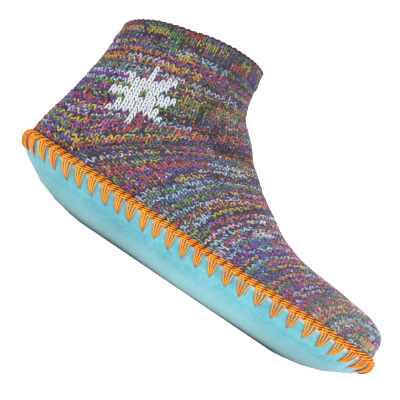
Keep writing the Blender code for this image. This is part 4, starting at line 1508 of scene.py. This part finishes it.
class EdgingSettings(bpy.types.PropertyGroup):
    """Sizes and colours of the crocheted edging."""
    heel_pitch: length_property("Heel pitch", "Distance between fans at the heel", 0.0091, 0.005, 0.03)
    toe_pitch: length_property("Toe pitch", "Distance between fans at the toe", 0.0112, 0.005, 0.03)
    fan_width: length_property("Fan width", "Top of a fan at the heel", 0.0055, 0.001, 0.02)
    toe_extra: length_property("Toe extra", "How much wider the fans are at the toe", 0.0020, 0.0, 0.01)
    strands: IntProperty(name="Strands", description="Strands in a fan", default=4, min=2, max=8)
    thread: length_property("Thread", "Half the thickness of the thread in the fans", 0.0005, 0.0002, 0.002)
    braid_thread: length_property("Braid thread", "The same in the braid, where it lies looser", 0.00054,
                                  0.0002, 0.002)
    # Stops of the thread's colour ramp: the crown is a painted highlight, the hollow is painted shade on the
    # flanks, underneath and in the hollows
    bright: colour_property("Crown", "Thread where it catches the light", "#ffb620")
    mean: colour_property("Thread", "Main colour of the thread", "#f8780a")
    dark: colour_property("Hollow", "Dye in the hollows", "#c02c06")
    # The inner strand's colours are all dark: painted shade in the gaps of the braid
    core_bright: colour_property("Core crown", "Inner strand where it catches the light", "#8c2a06")
    core_mean: colour_property("Core", "Main colour of the inner strand", "#6c1c04")
    core_dark: colour_property("Core hollow", "Dye in the hollows of the inner strand", "#4c1004")


class FeltSettings(bpy.types.PropertyGroup):
    """Colours of the felt insole."""
    light: colour_property("Light", "Light fibres", "#98928b")
    dark: colour_property("Dark", "Dark fibres", "#6b6763")


class SLIPPER_OT_knit(bpy.types.Operator):
    """Build the knitted upper: its wall, its collar and its stitches"""
    bl_idname = "slipper.knit"
    bl_label = "Knitted upper"

    def execute(self, context):
        knit = context.scene.slipper_knit
        grids = knit_grids()
        leg, foot = grids
        wool = wool_material(knit.twist)
        place_piece(build_knit_wall(grids, knit.sink), "upper", ground_material())
        band_end = cuff_row(leg)
        runs = yarn_runs()
        ribs, leg_wales, foot_wales = (np.arange(-half, half) + 0.5
                                       for half in (RIB_WALES, LEG_WALES, FOOT_WALES))
        found, first = courses(leg, rib_share, ribs, 0.0, band_end, knit.rib_course)
        colours = leg_colours(leg, rib_share, found, runs, 0, None, knit.star)
        piece = lay_stitches("knit_collar", leg, rib_share, found, RIB_LEG, leg.reach[0].mean() / RIB_WALES,
                             knit.rib_course, colours, CUFF_STEP)
        place_piece(piece, "upper", wool)
        place_piece(build_rim(leg), "upper", wool)
        for name, grid, share_at, wales, start, end, wale in (
                ("ankle", leg, leg_share, leg_wales, band_end, ANKLE_ROW, FOOT_WALE),
                ("heel", leg, leg_share, leg_wales, ANKLE_ROW, TURN_ROW, FOOT_WALE),
                ("instep", foot, foot_share, foot_wales, TURN_ROW, BEND_ROW, FOOT_WALE),
                ("toe", foot, foot_share, foot_wales, BEND_ROW, LAST_ROW, TOE_WALE)):
            found, count = courses(grid, share_at, wales, start, end, knit.course)
            for side, word in ((OUTER, "outer"), (INNER, "inner")):
                mine = [stitch for stitch in found if stitch.wale * side > 0.0]
                if not grid.closed:
                    mine = [s for s in mine if abs(float(share_at(grid, np.array((s.top + s.bottom) / 2.0),
                                                                  np.array(s.wale)))) < FOOT_REACH]
                star = star_stitches(grid, mine) if grid.closed and side == OUTER else None
                colours = leg_colours(grid, share_at, mine, runs, first, star, knit.star)
                piece = lay_stitches(f"knit_{name}_{word}", grid, share_at, mine, STITCH_LEG, wale,
                                     knit.course, colours, 0.0)
                place_piece(piece, "upper", wool)
            first += count
        return {"FINISHED"}


class SLIPPER_OT_sole(bpy.types.Operator):
    """Build the suede sole"""
    bl_idname = "slipper.sole"
    bl_label = "Suede sole"

    def execute(self, context):
        place_piece(build_sole(context.scene.slipper_edging), "sole",
                    suede_material(context.scene.slipper_suede))
        return {"FINISHED"}


class SLIPPER_OT_insole(bpy.types.Operator):
    """Build the felt insole"""
    bl_idname = "slipper.insole"
    bl_label = "Felt insole"

    def execute(self, context):
        place_piece(build_insole(), "insole", felt_material(context.scene.slipper_felt))
        return {"FINISHED"}


class SLIPPER_OT_edging(bpy.types.Operator):
    """Build the crocheted edging"""
    bl_idname = "slipper.edging"
    bl_label = "Crocheted edging"

    def execute(self, context):
        edging = context.scene.slipper_edging
        core = thread_material("orange_cotton_core_painted_shade", edging.core_bright, edging.core_mean, edging.core_dark)
        place_piece(build_edging_core(), "edging", core)
        thread = thread_material("orange_mercerised_cotton", edging.bright, edging.mean, edging.dark)
        place_piece(build_edging(edging), "edging", thread)
        return {"FINISHED"}


# Stage

FLOOR_HALF = 4.0          # half the width of the backdrop
SWEEP_RADIUS = 0.6        # of its bend from floor to wall
SWEEP_START = 1.2         # where the bend begins behind the slipper
SWEEP_STEPS = 16
WORLD_LIGHT = 0.74
SUBJECT = (0.0, 0.0, 0.05)
BACKDROP = (0.0, 1.6, 0.0)
# Lights: name, place, target, size in metres, power in watts and colour
LIGHTS = (
    ("key", (0.2, -1.5, 1.3), SUBJECT, 1.0, 12.0, (1.0, 0.98, 0.95)),
    ("fill", (0.3, -1.5, 0.25), SUBJECT, 1.2, 5.0, (0.96, 0.98, 1.0)),
    ("top", (0.1, 0.2, 1.6), SUBJECT, 1.4, 4.0, (1.0, 1.0, 1.0)),
    ("behind", (0.0, 0.5, 1.0), BACKDROP, 1.6, 18.0, (1.0, 1.0, 1.0)),
)
CAMERA_DISTANCE = 0.75
CAMERA_HEIGHT = 0.003     # close above the floor, which the photo's angle would lie under
CAMERA_ROLL = 34.0
CAMERA_LENS = 113.0
AIM = (-0.0163, 0.0, 0.0511)


def looking(location, target):
    """Turn that points an object's -Z axis from one place to another, its Y axis upwards."""
    return (Vector(target) - Vector(location)).to_track_quat("-Z", "Y")


class SLIPPER_OT_stage(bpy.types.Operator):
    """Build the pale floor, the soft lights and the camera"""
    bl_idname = "slipper.stage"
    bl_label = "Stage"

    def execute(self, context):
        scene = context.scene
        profile = [(-3.0, 0.0), (SWEEP_START, 0.0)]
        for step in range(1, SWEEP_STEPS + 1):
            angle = math.pi / 2.0 * step / SWEEP_STEPS
            profile.append((SWEEP_START + SWEEP_RADIUS * math.sin(angle),
                            SWEEP_RADIUS - SWEEP_RADIUS * math.cos(angle)))
        profile.append((SWEEP_START + SWEEP_RADIUS, 4.0))
        count = len(profile)
        points = np.array([(x, y, z) for x in (-FLOOR_HALF, FLOOR_HALF) for y, z in profile])
        faces = [(i, count + i, count + i + 1, i + 1) for i in range(count - 1)]
        floor = mesh_object("backdrop", points, faces)
        floor.data.materials.append(paper_material())
        world = bpy.data.worlds.new("studio")
        world.use_nodes = True
        background = world.node_tree.nodes["Background"]
        background.inputs[0].default_value = (1.0, 1.0, 1.0, 1.0)
        background.inputs[1].default_value = WORLD_LIGHT
        scene.world = world
        for name, place, target, size, power, colour in LIGHTS:
            data = bpy.data.lights.new(name, "AREA")
            data.size = size
            data.energy = power
            data.color = colour
            light = bpy.data.objects.new(name, data)
            light.location = place
            light.rotation_euler = looking(place, target).to_euler()
            scene.collection.objects.link(light)
        camera_data = bpy.data.cameras.new("camera")
        camera_data.lens = CAMERA_LENS
        camera_data.sensor_width = 36.0
        camera_data.clip_start = 0.01
        camera = bpy.data.objects.new("camera", camera_data)
        location = (AIM[0], -CAMERA_DISTANCE, CAMERA_HEIGHT)
        camera.matrix_world = (Matrix.Translation(location) @ looking(location, AIM).to_matrix().to_4x4()
                               @ Matrix.Rotation(math.radians(CAMERA_ROLL), 4, "Z"))
        scene.collection.objects.link(camera)
        scene.camera = camera
        scene.view_settings.view_transform = "Standard"
        return {"FINISHED"}


class SLIPPER_PT_looks(bpy.types.Panel):
    """Settings of the slipper's looks and the operators that build them"""
    bl_idname = "SLIPPER_PT_looks"
    bl_label = "Slipper looks"
    bl_space_type = "VIEW_3D"
    bl_region_type = "UI"
    bl_category = "Slipper"

    def draw(self, context):
        for name, group in SETTINGS.items():
            for setting in group.__annotations__:
                self.layout.prop(getattr(context.scene, name), setting)
        for operator in OPERATORS:
            self.layout.operator(operator.bl_idname)


SETTINGS = {"slipper_knit": KnitSettings, "slipper_suede": SuedeSettings,
            "slipper_edging": EdgingSettings, "slipper_felt": FeltSettings}
OPERATORS = (SLIPPER_OT_stage, SLIPPER_OT_knit, SLIPPER_OT_sole, SLIPPER_OT_insole, SLIPPER_OT_edging)
ALL_CLASSES = (*SETTINGS.values(), *OPERATORS, SLIPPER_PT_looks)


def register():
    """Register the classes and hang the settings on the scene."""
    for found in ALL_CLASSES:
        bpy.utils.register_class(found)
    for name, group in SETTINGS.items():
        setattr(bpy.types.Scene, name, PointerProperty(type=group))


def unregister():
    """Take the settings and the classes away again."""
    for name in SETTINGS:
        delattr(bpy.types.Scene, name)
    for found in reversed(ALL_CLASSES):
        bpy.utils.unregister_class(found)


def main():
    """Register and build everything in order."""
    register()
    bpy.ops.slipper.stage()
    bpy.ops.slipper.knit()
    bpy.ops.slipper.sole()
    bpy.ops.slipper.insole()
    bpy.ops.slipper.edging()


if __name__ == "__main__":
    main()
